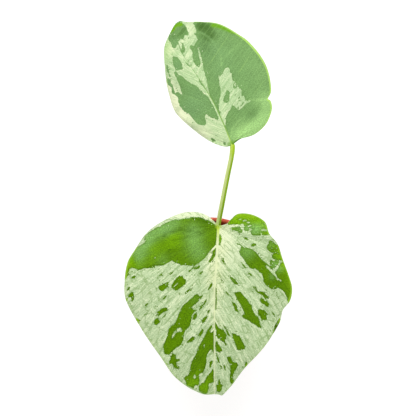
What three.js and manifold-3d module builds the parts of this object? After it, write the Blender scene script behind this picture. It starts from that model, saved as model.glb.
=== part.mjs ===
// A young variegated monstera in a small plastic pot: two heart-shaped leaves on long stalks
// that rise from one short stem in potting soil.
// Millimetres, +Z up, origin in the middle of the pot's flat bottom. The large leaf hangs
// towards -Y, the small one reaches back towards +Y.

import * as THREE from "three";
import * as BufferGeometryUtils from "three/addons/utils/BufferGeometryUtils.js";
import Module from "manifold-3d";

const wasm = await Module();
wasm.setup();

const DEGREE = Math.PI / 180;
const GAP = 0.3; // clearance between neighbouring pieces
const MERGE_TOLERANCE = 1e-3;

// The pot, from the outside in
const POT_HEIGHT = 85;
const POT_RIM_RADIUS = 48;
const POT_BASE_RADIUS = 35;
const POT_FLOOR = 2;
const POT_SEGMENTS = 40;
const COLLAR_HEIGHT = 15; // the band under the lip, which stands out from the body
const COLLAR_RADIUS = 46;
const BODY_TOP_RADIUS = 43.4;
const LIP_WIDTH = 2.9;
const WALL = 1.6;
const DRAIN_HOLES = 5;
const DRAIN_RADIUS = 3.6;
const DRAIN_CIRCLE = 21; // radius of the ring that the drain holes stand on

// The soil
const SOIL_LEVEL = 77;
const SOIL_RINGS = 8;
const SOIL_LUMPS = 90;
const LUMP_RADIUS = 6.5;
const LUMP_HEIGHT = 2.2;
const GOLDEN_ANGLE = 137.508 * DEGREE;

// The stem, with a ring at each leaf scar and one short air root
const STEM_ROUTE = [[0.5, 2, 42], [1, 2.5, 62], [2, 3, 80], [1.5, 3.5, 98]];
const STEM_RADIUS = 5.4;
const STEM_TOP_RADIUS = 3.6;
const STEM_SIDES = 14;
const STEM_STEPS = 22;
const SCAR_SHARES = [0.5, 0.66, 0.82]; // along the stem, from its foot
const SCAR_HEIGHT = 0.7;
const SCAR_WIDTH = 0.025;
const AIR_ROOT_ROUTE = [[4, 1, 84], [8.5, -1, 84.5], [11.5, -2.5, 82.5], [13, -3.5, 79.8]];
const AIR_ROOT_RADII = [1.7, 1.2];

// The stalks: each runs from inside the stem to the foot of its blade
const STALK_FOOT_RADIUS = 2.15;
const STALK_TOP_RADIUS = 1.85;
const SHEATH_RADIUS = 3.4; // where the stalk clasps the stem
const SHEATH_SHARE = 0.2;
const KNEE_SWELLING = 0.15; // just under the blade
const STALK_SIDES = 10;
const STALK_STEPS = 26;
const LARGE_STALK_ROUTE = [
  [1.2, -0.5, 86], [-1.5, -3, 100], [-2, -0.5, 118], [1.5, 3.2, 136], [5.4, 3.2, 145.6], [5.5, -0.6, 149.2],
];
const SMALL_STALK_ROUTE = [
  [1.8, 6, 88], [3.6, 14, 101], [5.8, 23, 115], [12.8, 46, 152], [16.5, 57.5, 171], [16.7, 62.4, 175.2],
];

// The blades. A leaf's own frame: X across it, Y along it from the stalk, Z out of its upper face.
const BLADE_THICKNESS = 0.8;
const RIB_DEPTH = 1.3; // how far the midrib stands out under the blade at the stalk
const VEIN_REACH = 0.62; // how far a side vein runs straight before it curves, of its length
const VEINS = 7; // side veins to each half
const QUILT_HEIGHT = 0.4; // how far the blade swells up between two side veins
const ROW_CROWDING = 0.55; // how much closer the rows lie at the notch and the tip
const PROFILE_STEP = 0.5;
const PROFILE_FROM = -30;
const PROFILE_TO = 180;

const LARGE_LEAF = {
  joint: [5.5, 2.1, 151.3],
  heading: 180, // degrees, turned left from +Y
  slope: -30,
  roll: 0,
  midrib: [[0, -20], [0, 0], [1.5, 27], [3, 49], [3.2, 80], [3, 129], [3, 160]],
  length: 156,
  arch: { start: 10, fall: 28 / 120, curl: 95, curlFrom: 130, curlTo: 146 },
  lobeShare: 0.4,
  veinSpread: 1.8,
  rows: 44,
  columns: 10,
  sides: [
    {
      sign: 1,
      margin: [
        [0, 0], [4.2, -4.3], [10.5, -9.6], [20.6, -12.3], [34.1, -9.2], [56.1, 2.8], [69.2, 20.6],
        [73.8, 30], [75.6, 44], [74.2, 60], [60.5, 84.4], [45.3, 104], [35.3, 119], [24.5, 130],
        [17.5, 135], [12.5, 139.6], [7.5, 147], [3, 156],
      ],
      lift: 6,
      bend: 0.0075,
      lobeTurn: -16,
      ruffle: { height: 2.2, waves: 3.5, phase: 0.6 },
      roll: { depth: 5, from: 0.02, to: 0.4 },
    },
    {
      sign: -1,
      margin: [
        [0, 0], [-5.9, -0.7], [-10.3, -5.6], [-16.1, -10.4], [-26.5, -9.9], [-36.4, -3.9],
        [-39.8, 6], [-46.8, 14.2], [-50.9, 25.6], [-55.6, 38.2], [-58.7, 49.1], [-57, 59.2],
        [-51.2, 67], [-48.7, 77], [-41.4, 87.9], [-30.8, 101.4], [-20.6, 114.3], [-11.9, 126.2],
        [-7.8, 131.6], [-4, 138], [-0.8, 146], [3, 156],
      ],
      lift: 6,
      bend: 0.0076,
      lobeTurn: -34,
      ruffle: { height: 2.4, waves: 4.5, phase: 0.2 },
      roll: { depth: 2.5, from: 0.04, to: 0.24 },
    },
  ],
};

const SMALL_LEAF = {
  joint: [16.3, 61.3, 176.2],
  heading: 28.35,
  slope: 11.5,
  roll: 14.2,
  midrib: [
    [0, -10], [0, 0], [2.2, 16], [3.8, 35], [3.6, 55], [2, 74], [1.2, 90], [4.5, 106], [12, 122], [15, 130],
  ],
  length: 122,
  arch: { start: 8, fall: 15 / 100, curl: 62, curlFrom: 109, curlTo: 123 },
  lobeShare: 0.22,
  veinSpread: 1.5,
  rows: 38,
  columns: 9,
  sides: [
    {
      sign: 1,
      margin: [
        [0, 0], [4.4, 0.9], [8.8, 0.9], [19.9, -1], [31.8, 1.8], [41, 9.2], [43.8, 16],
        [42.9, 19], [48.6, 24], [54.1, 38.5], [55.3, 52], [52.5, 71.3], [47.8, 85.1],
        [40.5, 96.8], [29.9, 106.2], [20, 112.3], [15.5, 116.5], [12, 122],
      ],
      lift: 3,
      bend: 0.004,
      lobeTurn: -20,
      ruffle: { height: 1.4, waves: 3.5, phase: 0.35 },
      roll: { depth: 3, from: 0.62, to: 0.92 },
    },
    {
      sign: -1,
      margin: [
        [0, 0], [-5.6, 1.6], [-13, 10.2], [-19.7, 24.6], [-26.5, 42.1], [-27.9, 54],
        [-23.1, 72.3], [-16.4, 86.8], [-9.4, 101.3], [-3.6, 107.8], [2.6, 112.4], [8, 116.6], [12, 122],
      ],
      lift: -6,
      bend: 0.014,
      lobeTurn: -12,
      ruffle: { height: 1.2, waves: 3, phase: 0.1 },
      roll: { depth: 2, from: 0.1, to: 0.6 },
    },
  ],
};

const MATERIALS = {
  pot: { color: 0xe8705c, roughness: 0.5 },
  soil: { color: 0x3b2a20, roughness: 1 },
  stem: { color: 0x8fae5c, roughness: 0.6 },
  stalk: { color: 0xa3c05e, roughness: 0.5 },
  blade: { color: 0xbcd79d, roughness: 0.45 },
};

function smoothStep(from, to, value) {
  const share = THREE.MathUtils.clamp((value - from) / (to - from), 0, 1);
  return share * share * (3 - 2 * share);
}

// Drops everything but position, joins the points that coincide and leaves out flat triangles.
function weld(geometry) {
  const bare = new THREE.BufferGeometry();
  bare.setAttribute("position", geometry.getAttribute("position"));
  bare.setIndex(geometry.getIndex());
  const merged = BufferGeometryUtils.mergeVertices(bare, MERGE_TOLERANCE);
  const corners = Array.from(merged.getIndex().array);
  const kept = [];
  for (let i = 0; i < corners.length; i += 3) {
    const [a, b, c] = corners.slice(i, i + 3);
    if (a !== b && b !== c && c !== a) {
      kept.push(a, b, c);
    }
  }
  merged.setIndex(kept);
  return merged;
}

function toSolid(geometry) {
  const welded = weld(geometry);
  return new wasm.Manifold(new wasm.Mesh({
    numProp: 3,
    vertProperties: new Float32Array(welded.getAttribute("position").array),
    triVerts: new Uint32Array(welded.getIndex().array),
  }));
}

function toGeometry(solid) {
  const mesh = solid.getMesh();
  const geometry = new THREE.BufferGeometry();
  geometry.setAttribute("position", new THREE.BufferAttribute(mesh.vertProperties, 3));
  geometry.setIndex(Array.from(mesh.triVerts));
  return geometry;
}

function makeMesh(name, geometry, look) {
  geometry.computeVertexNormals();
  const mesh = new THREE.Mesh(geometry, new THREE.MeshStandardMaterial({ ...look, metalness: 0 }));
  mesh.name = name;
  return mesh;
}

// Turns a closed profile of [radius, height] points about the vertical axis.
function turned(profile, segments) {
  const points = profile.map(([radius, height]) => new THREE.Vector2(radius, height));
  return new THREE.LatheGeometry(points, segments).rotateX(90 * DEGREE);
}

// A round bar along a smooth route, with its radius given by a function of the share of its
// length, and both ends closed by a fan.
function taperedBar(route, radiusAt, sides, steps) {
  const curve = new THREE.CatmullRomCurve3(route.map((point) => new THREE.Vector3(...point)));
  const frames = curve.computeFrenetFrames(steps);
  const positions = [];
  const corners = [];
  for (let step = 0; step <= steps; step++) {
    const centre = curve.getPointAt(step / steps);
    const radius = radiusAt(step / steps);
    for (let side = 0; side < sides; side++) {
      const angle = 2 * Math.PI * side / sides;
      const point = centre.clone()
        .addScaledVector(frames.normals[step], radius * Math.cos(angle))
        .addScaledVector(frames.binormals[step], radius * Math.sin(angle));
      positions.push(...point.toArray());
      if (step < steps) {
        const here = step * sides + side;
        const next = step * sides + (side + 1) % sides;
        corners.push(here, next, here + sides, next, next + sides, here + sides);
      }
    }
  }
  const foot = positions.length / 3;
  positions.push(...curve.getPointAt(0).toArray(), ...curve.getPointAt(1).toArray());
  for (let side = 0; side < sides; side++) {
    const next = (side + 1) % sides;
    corners.push(foot, next, side, foot + 1, steps * sides + side, steps * sides + next);
  }
  const geometry = new THREE.BufferGeometry();
  geometry.setAttribute("position", new THREE.Float32BufferAttribute(positions, 3));
  geometry.setIndex(corners);
  return geometry;
}

// Inner wall of the pot from the floor to the lip, as [radius, height] points.
function potInside() {
  const collarFoot = POT_HEIGHT - COLLAR_HEIGHT;
  return [
    [POT_BASE_RADIUS - WALL - 1, POT_FLOOR],
    [POT_BASE_RADIUS - WALL + 0.2, POT_FLOOR + 1.2],
    [BODY_TOP_RADIUS - WALL, collarFoot - 1],
    [COLLAR_RADIUS - WALL, collarFoot + 1.2],
    [POT_RIM_RADIUS - LIP_WIDTH - 0.3, POT_HEIGHT - 1.6],
  ];
}

function pot() {
  const collarFoot = POT_HEIGHT - COLLAR_HEIGHT;
  const outside = [
    [0, 0],
    [POT_BASE_RADIUS - 1.2, 0],
    [POT_BASE_RADIUS, 1.2],
    [BODY_TOP_RADIUS, collarFoot - 0.6],
    [COLLAR_RADIUS - 0.4, collarFoot],
    [COLLAR_RADIUS, collarFoot + 1],
    [COLLAR_RADIUS + 0.7, POT_HEIGHT - 3.4],
    [POT_RIM_RADIUS - 0.2, POT_HEIGHT - 2.6],
    [POT_RIM_RADIUS, POT_HEIGHT - 1.6],
    [POT_RIM_RADIUS - 0.5, POT_HEIGHT - 0.4],
    [POT_RIM_RADIUS - LIP_WIDTH / 2, POT_HEIGHT],
    [POT_RIM_RADIUS - LIP_WIDTH + 0.5, POT_HEIGHT - 0.3],
  ];
  const inside = potInside().reverse();
  let body = toSolid(turned([...outside, ...inside, [0, POT_FLOOR]], POT_SEGMENTS));
  for (let hole = 0; hole < DRAIN_HOLES; hole++) {
    const angle = 2 * Math.PI * hole / DRAIN_HOLES;
    const drill = new THREE.CylinderGeometry(DRAIN_RADIUS, DRAIN_RADIUS, 4 * POT_FLOOR, 12)
      .rotateX(90 * DEGREE)
      .translate(DRAIN_CIRCLE * Math.cos(angle), DRAIN_CIRCLE * Math.sin(angle), 0);
    body = body.subtract(toSolid(drill));
  }
  return makeMesh("pot", toGeometry(body), MATERIALS.pot);
}

// Height of the soil's lumps at a point: rounded mounds set out like the seeds of a sunflower.
function lumpHeight(x, y) {
  let height = 0;
  for (let lump = 0; lump < SOIL_LUMPS; lump++) {
    const radius = POT_RIM_RADIUS * Math.sqrt((lump + 0.5) / SOIL_LUMPS);
    const offsetX = x - radius * Math.cos(lump * GOLDEN_ANGLE);
    const offsetY = y - radius * Math.sin(lump * GOLDEN_ANGLE);
    const near = Math.max(0, 1 - Math.hypot(offsetX, offsetY) / LUMP_RADIUS);
    height = Math.max(height, near * (0.4 + 0.6 * Math.abs(Math.sin(lump * 2.4))));
  }
  return LUMP_HEIGHT * height;
}

function soil(stemCutter) {
  const wall = potInside();
  const [lowRadius, lowHeight] = wall[3];
  const [highRadius, highHeight] = wall[4];
  const share = (SOIL_LEVEL - lowHeight) / (highHeight - lowHeight);
  const topRadius = THREE.MathUtils.lerp(lowRadius, highRadius, share) - GAP;
  const profile = [[0, POT_FLOOR + GAP], [wall[0][0] - GAP, POT_FLOOR + GAP]];
  for (const [radius, height] of wall.slice(1, 4)) {
    profile.push([radius - GAP, height]);
  }
  for (let ring = SOIL_RINGS; ring >= 0; ring--) {
    profile.push([topRadius * ring / SOIL_RINGS, SOIL_LEVEL]);
  }
  const geometry = turned(profile, POT_SEGMENTS);
  const points = geometry.getAttribute("position");
  for (let i = 0; i < points.count; i++) {
    const fromAxis = Math.hypot(points.getX(i), points.getY(i));
    if (points.getZ(i) > SOIL_LEVEL - MERGE_TOLERANCE && fromAxis < topRadius - GAP) {
      points.setZ(i, SOIL_LEVEL + lumpHeight(points.getX(i), points.getY(i)) - LUMP_HEIGHT / 2);
    }
  }
  return makeMesh("soil", toGeometry(toSolid(geometry).subtract(stemCutter)), MATERIALS.soil);
}

// The stem's radius at a share of its length, or that of the space it needs with a gap round it.
function stemRadius(share, gap) {
  const taper = THREE.MathUtils.lerp(STEM_RADIUS, STEM_TOP_RADIUS, share);
  const rings = SCAR_SHARES.map((at) => SCAR_HEIGHT * Math.exp(-(((share - at) / SCAR_WIDTH) ** 2)));
  const dome = Math.sqrt(1 - smoothStep(0.9, 1, share) * 0.75);
  return (taper + Math.max(...rings)) * dome + gap;
}

// The stem with its air root, grown by a gap on every side if it is to cut its neighbours.
function stemSolid(gap) {
  const route = STEM_ROUTE.map((point) => [...point]);
  route[0][2] -= gap;
  route[route.length - 1][2] += gap;
  const trunk = taperedBar(route, (share) => stemRadius(share, gap), STEM_SIDES, STEM_STEPS);
  const [rootStart, rootEnd] = AIR_ROOT_RADII;
  const root = taperedBar(
    AIR_ROOT_ROUTE, (share) => THREE.MathUtils.lerp(rootStart, rootEnd, share) + gap, 8, 8,
  );
  return toSolid(trunk).add(toSolid(root));
}

// A stalk swells where it clasps the stem and is slightly thicker again under the blade.
function stalkRadius(share) {
  const shaft = THREE.MathUtils.lerp(STALK_FOOT_RADIUS, STALK_TOP_RADIUS, share);
  const sheath = 1 - smoothStep(0, SHEATH_SHARE, share);
  const knee = KNEE_SWELLING * smoothStep(0.9, 0.97, share);
  return shaft + (SHEATH_RADIUS - STALK_FOOT_RADIUS) * sheath + knee;
}

function stalk(name, route, cutters) {
  let solid = toSolid(taperedBar(route, stalkRadius, STALK_SIDES, STALK_STEPS));
  for (const cutter of cutters) {
    solid = solid.subtract(cutter);
  }
  const pieces = solid.decompose();
  pieces.sort((a, b) => b.volume() - a.volume());
  return makeMesh(name, toGeometry(pieces[0]), MATERIALS.stalk);
}

// Side view of the leaf: for each distance along it, how far forward and how high the midrib
// lies, summed in small steps from its slope there.
function leafProfile({ start, fall, curl, curlFrom, curlTo }) {
  const slopeAt = (along) => DEGREE * (start - fall * along - curl * smoothStep(curlFrom, curlTo, along));
  const walk = (from, step, count) => {
    const rows = [[0, 0]];
    let along = from;
    for (let i = 0; i < count; i++) {
      const slope = slopeAt(along + step / 2);
      const [forward, high] = rows[rows.length - 1];
      rows.push([forward + step * Math.cos(slope), high + step * Math.sin(slope)]);
      along += step;
    }
    return rows;
  };
  const back = walk(0, -PROFILE_STEP, -PROFILE_FROM / PROFILE_STEP);
  const ahead = walk(0, PROFILE_STEP, PROFILE_TO / PROFILE_STEP);
  return (along) => {
    const rows = along < 0 ? back : ahead;
    const place = Math.abs(along) / PROFILE_STEP;
    const low = Math.min(Math.floor(place), rows.length - 2);
    const forward = THREE.MathUtils.lerp(rows[low][0], rows[low + 1][0], place - low);
    const high = THREE.MathUtils.lerp(rows[low][1], rows[low + 1][1], place - low);
    return { forward, high, slope: slopeAt(along) };
  };
}

// Where the midrib lies across the leaf, at a distance along it.
function midribOffset(leaf, along) {
  const points = leaf.midrib;
  const above = points.findIndex(([, height]) => height >= along);
  const next = above < 1 ? 1 : above;
  const [fromU, fromV] = points[next - 1];
  const [toU, toV] = points[next];
  return THREE.MathUtils.mapLinear(along, fromV, toV, fromU, toU);
}

// A point of one half of the pressed leaf. Row 0 is the notch at the stalk and row 1 the tip;
// column 0 is the midrib and column 1 the margin. Each row is a side vein: a curve of three
// control points that leaves the midrib forward and bends towards the margin.
function pressedPoint(leaf, side, curve, row, column) {
  const rise = Math.max(0, (row - leaf.lobeShare) / (1 - leaf.lobeShare)) ** leaf.veinSpread;
  const along = leaf.length * rise;
  const foot = new THREE.Vector2(midribOffset(leaf, along), along);
  const edge = curve.getPointAt(row);
  const chord = edge.clone().sub(foot);
  const turn = THREE.MathUtils.lerp(side.lobeTurn, 12, smoothStep(0.05, 0.55, row));
  const angle = Math.atan2(chord.x * side.sign, chord.y) + turn * DEGREE * (1 - row);
  const reach = VEIN_REACH * chord.length();
  const middle = new THREE.Vector2(side.sign * Math.sin(angle), Math.cos(angle))
    .multiplyScalar(reach).add(foot);
  return new THREE.QuadraticBezierCurve(foot, middle, edge).getPoint(column);
}

// Small relief of one half, above its smooth form: the swelling between side veins, the waves
// of the margin, and the margin rolled down along a part of its length.
function relief(leaf, side, row, column) {
  const swell = QUILT_HEIGHT * (1 - smoothStep(0.75, 0.9, row));
  const quilt = swell * Math.sin(Math.PI * VEINS * row) ** 2 * 4 * column * (1 - column);
  const { height, waves, phase } = side.ruffle;
  const ends = smoothStep(0, 0.08, row) * (1 - smoothStep(0.86, 0.97, row));
  const ruffle = height * column ** 4 * Math.sin(2 * Math.PI * (waves * row + phase)) * ends;
  const { depth, from, to } = side.roll;
  const width = 0.25 * (to - from);
  const span = smoothStep(from, from + width, row) * (1 - smoothStep(to - width, to, row));
  const roll = depth * span * Math.max(0, (column - 0.8) / 0.2) ** 2;
  return quilt + ruffle - roll;
}

// Bends a point of the pressed leaf: first across, where each half leaves the midrib at an angle
// and curves down at a steady rate, then along the leaf's side view.
function bendPoint(leaf, side, profile, point, lift) {
  const offset = midribOffset(leaf, point.y);
  const distance = Math.abs(point.x - offset);
  const start = side.lift * DEGREE;
  const end = start - side.bend * distance;
  const out = (Math.sin(start) - Math.sin(end)) / side.bend;
  const up = (Math.cos(end) - Math.cos(start)) / side.bend + lift;
  const { forward, high, slope } = profile(point.y);
  return [offset + side.sign * out, forward - up * Math.sin(slope), high + up * Math.cos(slope)];
}

// Spreads the rows so that they lie closer at both ends, where the blade turns most.
function crowdedShare(share) {
  return share - ROW_CROWDING * Math.sin(2 * Math.PI * share) / (2 * Math.PI);
}

// The blade's middle surface: both halves as one open sheet that shares the midrib.
function bladeSheet(leaf) {
  const profile = leafProfile(leaf.arch);
  const positions = [];
  const corners = [];
  for (const side of leaf.sides) {
    const curve = new THREE.SplineCurve(side.margin.map(([u, v]) => new THREE.Vector2(u, v)));
    const first = positions.length / 3;
    for (let i = 0; i <= leaf.rows; i++) {
      for (let j = 0; j <= leaf.columns; j++) {
        const row = crowdedShare(i / leaf.rows);
        const column = j / leaf.columns;
        const flat = pressedPoint(leaf, side, curve, row, column);
        positions.push(...bendPoint(leaf, side, profile, flat, relief(leaf, side, row, column)));
        if (i < leaf.rows && j < leaf.columns) {
          const here = first + i * (leaf.columns + 1) + j;
          const above = here + leaf.columns + 1;
          const quad = [here, here + 1, above, above, here + 1, above + 1];
          corners.push(...(side.sign > 0 ? quad : quad.reverse()));
        }
      }
    }
  }
  const sheet = new THREE.BufferGeometry();
  sheet.setAttribute("position", new THREE.Float32BufferAttribute(positions, 3));
  sheet.setIndex(corners);
  const welded = weld(sheet);
  welded.computeVertexNormals();
  return welded;
}

// Gives an open sheet a thickness: a lower copy with the same triangles turned over, and a strip
// along every edge that only one triangle uses. below(x, y, z) is the depth under the sheet.
function thicken(sheet, above, below) {
  const points = sheet.getAttribute("position");
  const normals = sheet.getAttribute("normal");
  const upper = [];
  const lower = [];
  for (let i = 0; i < points.count; i++) {
    const point = new THREE.Vector3().fromBufferAttribute(points, i);
    const normal = new THREE.Vector3().fromBufferAttribute(normals, i);
    upper.push(...point.clone().addScaledVector(normal, above).toArray());
    lower.push(...point.addScaledVector(normal, -below(...point.toArray())).toArray());
  }
  const corners = Array.from(sheet.getIndex().array);
  const edges = new Set();
  for (let i = 0; i < corners.length; i += 3) {
    for (let k = 0; k < 3; k++) {
      edges.add(`${corners[i + k]},${corners[i + (k + 1) % 3]}`);
    }
  }
  const faces = [...corners];
  for (let i = 0; i < corners.length; i += 3) {
    faces.push(corners[i + 2] + points.count, corners[i + 1] + points.count, corners[i] + points.count);
  }
  for (const edge of edges) {
    const [from, to] = edge.split(",").map(Number);
    if (!edges.has(`${to},${from}`)) {
      faces.push(to, from, from + points.count, to, from + points.count, to + points.count);
    }
  }
  const geometry = new THREE.BufferGeometry();
  geometry.setAttribute("position", new THREE.Float32BufferAttribute([...upper, ...lower], 3));
  geometry.setIndex(faces);
  return geometry;
}

// The blade as a solid in the object's frame, with a gap all round it if it is to cut a stalk.
function bladeGeometry(leaf, gap) {
  const half = BLADE_THICKNESS / 2 + gap;
  const ribHalfWidth = 1.2;
  const below = (x, y) => {
    const onRib = Math.abs(x - midribOffset(leaf, y)) < ribHalfWidth;
    const taper = smoothStep(-1, 3, y) * (1 - 0.8 * smoothStep(0, leaf.length, y));
    return onRib ? half + RIB_DEPTH * taper : half;
  };
  const turn = new THREE.Euler(leaf.slope * DEGREE, -leaf.roll * DEGREE, leaf.heading * DEGREE, "ZXY");
  return thicken(bladeSheet(leaf), half, below)
    .applyMatrix4(new THREE.Matrix4().makeRotationFromEuler(turn))
    .translate(...leaf.joint);
}

const stemCutter = stemSolid(GAP);
const group = new THREE.Group();
group.add(pot());
group.add(soil(stemCutter));
group.add(makeMesh("stem", toGeometry(stemSolid(0)), MATERIALS.stem));
for (const [name, route, leaf] of [
  ["large", LARGE_STALK_ROUTE, LARGE_LEAF],
  ["small", SMALL_STALK_ROUTE, SMALL_LEAF],
]) {
  group.add(stalk(`stalk_${name}`, route, [stemCutter, toSolid(bladeGeometry(leaf, GAP))]));
  group.add(makeMesh(`blade_${name}`, bladeGeometry(leaf, 0), MATERIALS.blade));
}

export default group;
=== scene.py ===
"""Dresses the potted monstera: two variegated leaves on their stalks, a short stem, potting
soil and a moulded pot, on a pale floor under soft studio light.

Lengths are millimetres in this file until a surface becomes a mesh, which is in metres.
"""
import logging
import math
from collections.abc import Callable, Sequence
from dataclasses import dataclass, field
from enum import Enum
from itertools import combinations
from typing import Any

import bpy
import numpy as np
from mathutils import Matrix, Vector


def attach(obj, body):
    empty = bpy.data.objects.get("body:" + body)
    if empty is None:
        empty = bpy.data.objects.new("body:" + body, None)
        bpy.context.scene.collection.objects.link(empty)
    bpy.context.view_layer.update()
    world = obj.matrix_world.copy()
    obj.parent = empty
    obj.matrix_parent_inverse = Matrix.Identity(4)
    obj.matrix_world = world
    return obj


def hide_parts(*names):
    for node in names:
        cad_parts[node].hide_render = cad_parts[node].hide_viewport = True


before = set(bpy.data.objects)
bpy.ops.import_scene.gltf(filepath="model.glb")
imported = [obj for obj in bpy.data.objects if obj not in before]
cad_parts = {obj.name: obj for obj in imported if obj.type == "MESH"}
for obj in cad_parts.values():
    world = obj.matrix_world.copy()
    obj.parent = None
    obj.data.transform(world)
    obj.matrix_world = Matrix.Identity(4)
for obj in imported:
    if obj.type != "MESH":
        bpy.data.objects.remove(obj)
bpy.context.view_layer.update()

Array = np.ndarray
Colour = tuple[float, float, float]
Point = tuple[float, float, float]
Flat = tuple[float, float]

LOG = logging.getLogger("monstera")
MM = 0.001
BODY = "root"
GOLDEN_ANGLE = math.radians(137.508)
MARK_UNITS = (1000, 100)


# Arithmetic on arrays


def smooth(low: float, high: float, value: Array | float) -> Array:
    """Eases from 0 at low to 1 at high: t * t * (3 - 2 t) of the clamped share t."""
    share = np.clip((np.asarray(value, float) - low) / (high - low), 0, 1)
    return share * share * (3 - 2 * share)


def bell(value: Array, width: float) -> Array:
    """A rounded bump: e to the minus square of value over width."""
    return np.exp(-((value / width) ** 2))


def crowded(share: Array, amount: float) -> Array:
    """Draws evenly spread shares towards both ends: t - amount * sin(2 pi t) / (2 pi)."""
    return share - amount * np.sin(2 * np.pi * share) / (2 * np.pi)


def unit(vectors: Array) -> Array:
    """Scales each vector of an array to length 1."""
    return vectors / np.maximum(np.linalg.norm(vectors, axis=-1, keepdims=True), 1e-12)


def turn_about(axis: int, degrees: float) -> Array:
    """The 3 by 3 matrix that turns by an angle about X, Y or Z (0, 1 or 2)."""
    names = ("X", "Y", "Z")
    return np.array(Matrix.Rotation(math.radians(degrees), 3, names[axis]))


def ring_angles(count: int) -> Array:
    """Angles in equal steps once round a circle."""
    return np.arange(count) * 2 * np.pi / count


def polar(away: Array, angle: Array) -> Array:
    """X and Y of points at distances and angles, one point to a row."""
    return np.stack([away * np.cos(angle), away * np.sin(angle)], axis=1)


def pairs(numbers: Sequence[float]) -> Array:
    """Takes a flat list of numbers two at a time, one pair to a row."""
    return np.array(numbers, float).reshape(-1, 2)


def evenly(points: Array, count: int) -> Array:
    """Walks a dense chain of points in equal steps of its length.

    Args:
        points: the chain, one point to a row.
        count: how many points to return, both ends among them.

    Returns:
        The points at equal distances along the chain.
    """
    steps = np.linalg.norm(np.diff(points, axis=0), axis=1)
    reached = np.concatenate([[0], np.cumsum(steps)])
    wanted = np.linspace(0, reached[-1], count)
    return np.stack([np.interp(wanted, reached, axis) for axis in points.T], axis=1)


def cubic(start: Array, end: Array, leave: Array, arrive: Array, share: Array) -> Array:
    """Points of cubics that leave one point and arrive at the next with given slopes.

    Args:
        start: the point that each cubic leaves.
        end: the point that it arrives at.
        leave: its slope at the start.
        arrive: its slope at the end.
        share: how far along it to read it, from 0 to 1.

    Returns:
        The points.
    """
    third = 2 * start - 2 * end + leave + arrive
    second = -3 * start + 3 * end - 2 * leave - arrive
    return ((third * share + second) * share + leave) * share + start


def even_spline(points: Array, count: int = 2001) -> Array:
    """A plane curve through points: between two of them a cubic whose slope at each point is
    half the step from the point before to the point after. It is walked in equal lengths.

    Args:
        points: the points that the curve goes through.
        count: how many points of the curve to return.

    Returns:
        The curve's points.
    """
    last = len(points) - 1
    place = np.linspace(0, last, count)
    low = np.minimum(place.astype(int), last - 1)
    start, end = points[low], points[low + 1]
    before, after = points[np.maximum(low - 1, 0)], points[np.minimum(low + 2, last)]
    share = (place - low)[:, None]
    curve = cubic(start, end, (end - before) / 2, (after - start) / 2, share)
    return evenly(curve, count)


def even_route(points: Sequence[Point], count: int, dense: int = 60) -> Array:
    """A space curve through points, tightened by the square root of the distance between
    neighbours so that it never loops, walked in equal lengths.

    Args:
        points: the points that the curve goes through.
        count: how many points of the curve to return.
        dense: how many steps are taken between two points before it is walked.

    Returns:
        The curve's points.
    """
    knots = np.array(points, float)
    knots = np.vstack([2 * knots[0] - knots[1], knots, 2 * knots[-1] - knots[-2]])
    spans = np.sqrt(np.linalg.norm(np.diff(knots, axis=0), axis=1))
    last = len(points) - 1
    place = np.linspace(0, last, dense * last + 1)
    low = np.minimum(place.astype(int), last - 1)
    share = (place - low)[:, None]
    gaps = [spans[low + shift][:, None] for shift in range(3)]
    corner = [knots[low + shift] for shift in range(4)]
    steps = [(corner[i + 1] - corner[i]) / gaps[i] for i in range(3)]
    leave = steps[0] - (corner[2] - corner[0]) / (gaps[0] + gaps[1]) + steps[1]
    arrive = steps[1] - (corner[3] - corner[1]) / (gaps[1] + gaps[2]) + steps[2]
    curve = cubic(corner[1], corner[2], leave * gaps[1], arrive * gaps[1], share)
    return evenly(curve, count)


def waves(points: Array, size: float, seed: int, count: int = 28) -> Array:
    """Smooth random relief between about -1 and 1: the mean of cosine waves whose directions
    and phases are random and whose lengths lie around one size.

    Args:
        points: where to read the relief, one point to a row.
        size: the usual length of a wave.
        seed: chooses the waves.
        count: how many waves are added.

    Returns:
        The relief at each point.
    """
    dice = np.random.default_rng(seed)
    ways = unit(dice.normal(size=(count, points.shape[-1])))
    shortest, longest, usual_peak = 0.7, 1.6, 1.5
    pitch = 2 * np.pi / (size * dice.uniform(shortest, longest, count))
    phase = dice.uniform(0, 2 * np.pi, count)
    added = np.cos(points @ (ways * pitch[:, None]).T + phase).mean(-1)
    return added * math.sqrt(count) / usual_peak


# Surfaces and the meshes made from them


@dataclass
class Surface:
    """Points, faces and the numbers that a finish reads from each point."""

    points: Array
    faces: list[Array]
    notes: dict[str, Array] = field(default_factory=dict)

    def mesh(self, name: str) -> bpy.types.Mesh:
        """Puts the surface into a mesh, in metres.

        Args:
            name: the mesh's name.

        Returns:
            The new mesh, with smooth shading.
        """
        mesh = bpy.data.meshes.new(name)
        mesh.vertices.add(len(self.points))
        mesh.vertices.foreach_set("co", (self.points * MM).astype(np.float32).ravel())
        corners = np.concatenate([group.ravel() for group in self.faces])
        sides = np.concatenate([np.full(len(group), group.shape[1]) for group in self.faces])
        mesh.loops.add(len(corners))
        mesh.loops.foreach_set("vertex_index", corners.astype(np.int32))
        mesh.polygons.add(len(sides))
        starts = np.concatenate([[0], np.cumsum(sides)[:-1]])
        mesh.polygons.foreach_set("loop_start", starts.astype(np.int32))
        mesh.update(calc_edges=True)
        mesh.validate()
        for note, values in self.notes.items():
            layer = mesh.attributes.new(note, "FLOAT_VECTOR", "POINT")
            layer.data.foreach_set("vector", values.astype(np.float32).ravel())
        mesh.shade_smooth()
        return mesh


def quads(numbers: Array) -> Array:
    """The faces of a grid of point numbers: along a row first, then on to the next row."""
    cells = [numbers[:-1, :-1], numbers[:-1, 1:], numbers[1:, 1:], numbers[1:, :-1]]
    return np.stack(cells, axis=-1).reshape(-1, 4)


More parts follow.
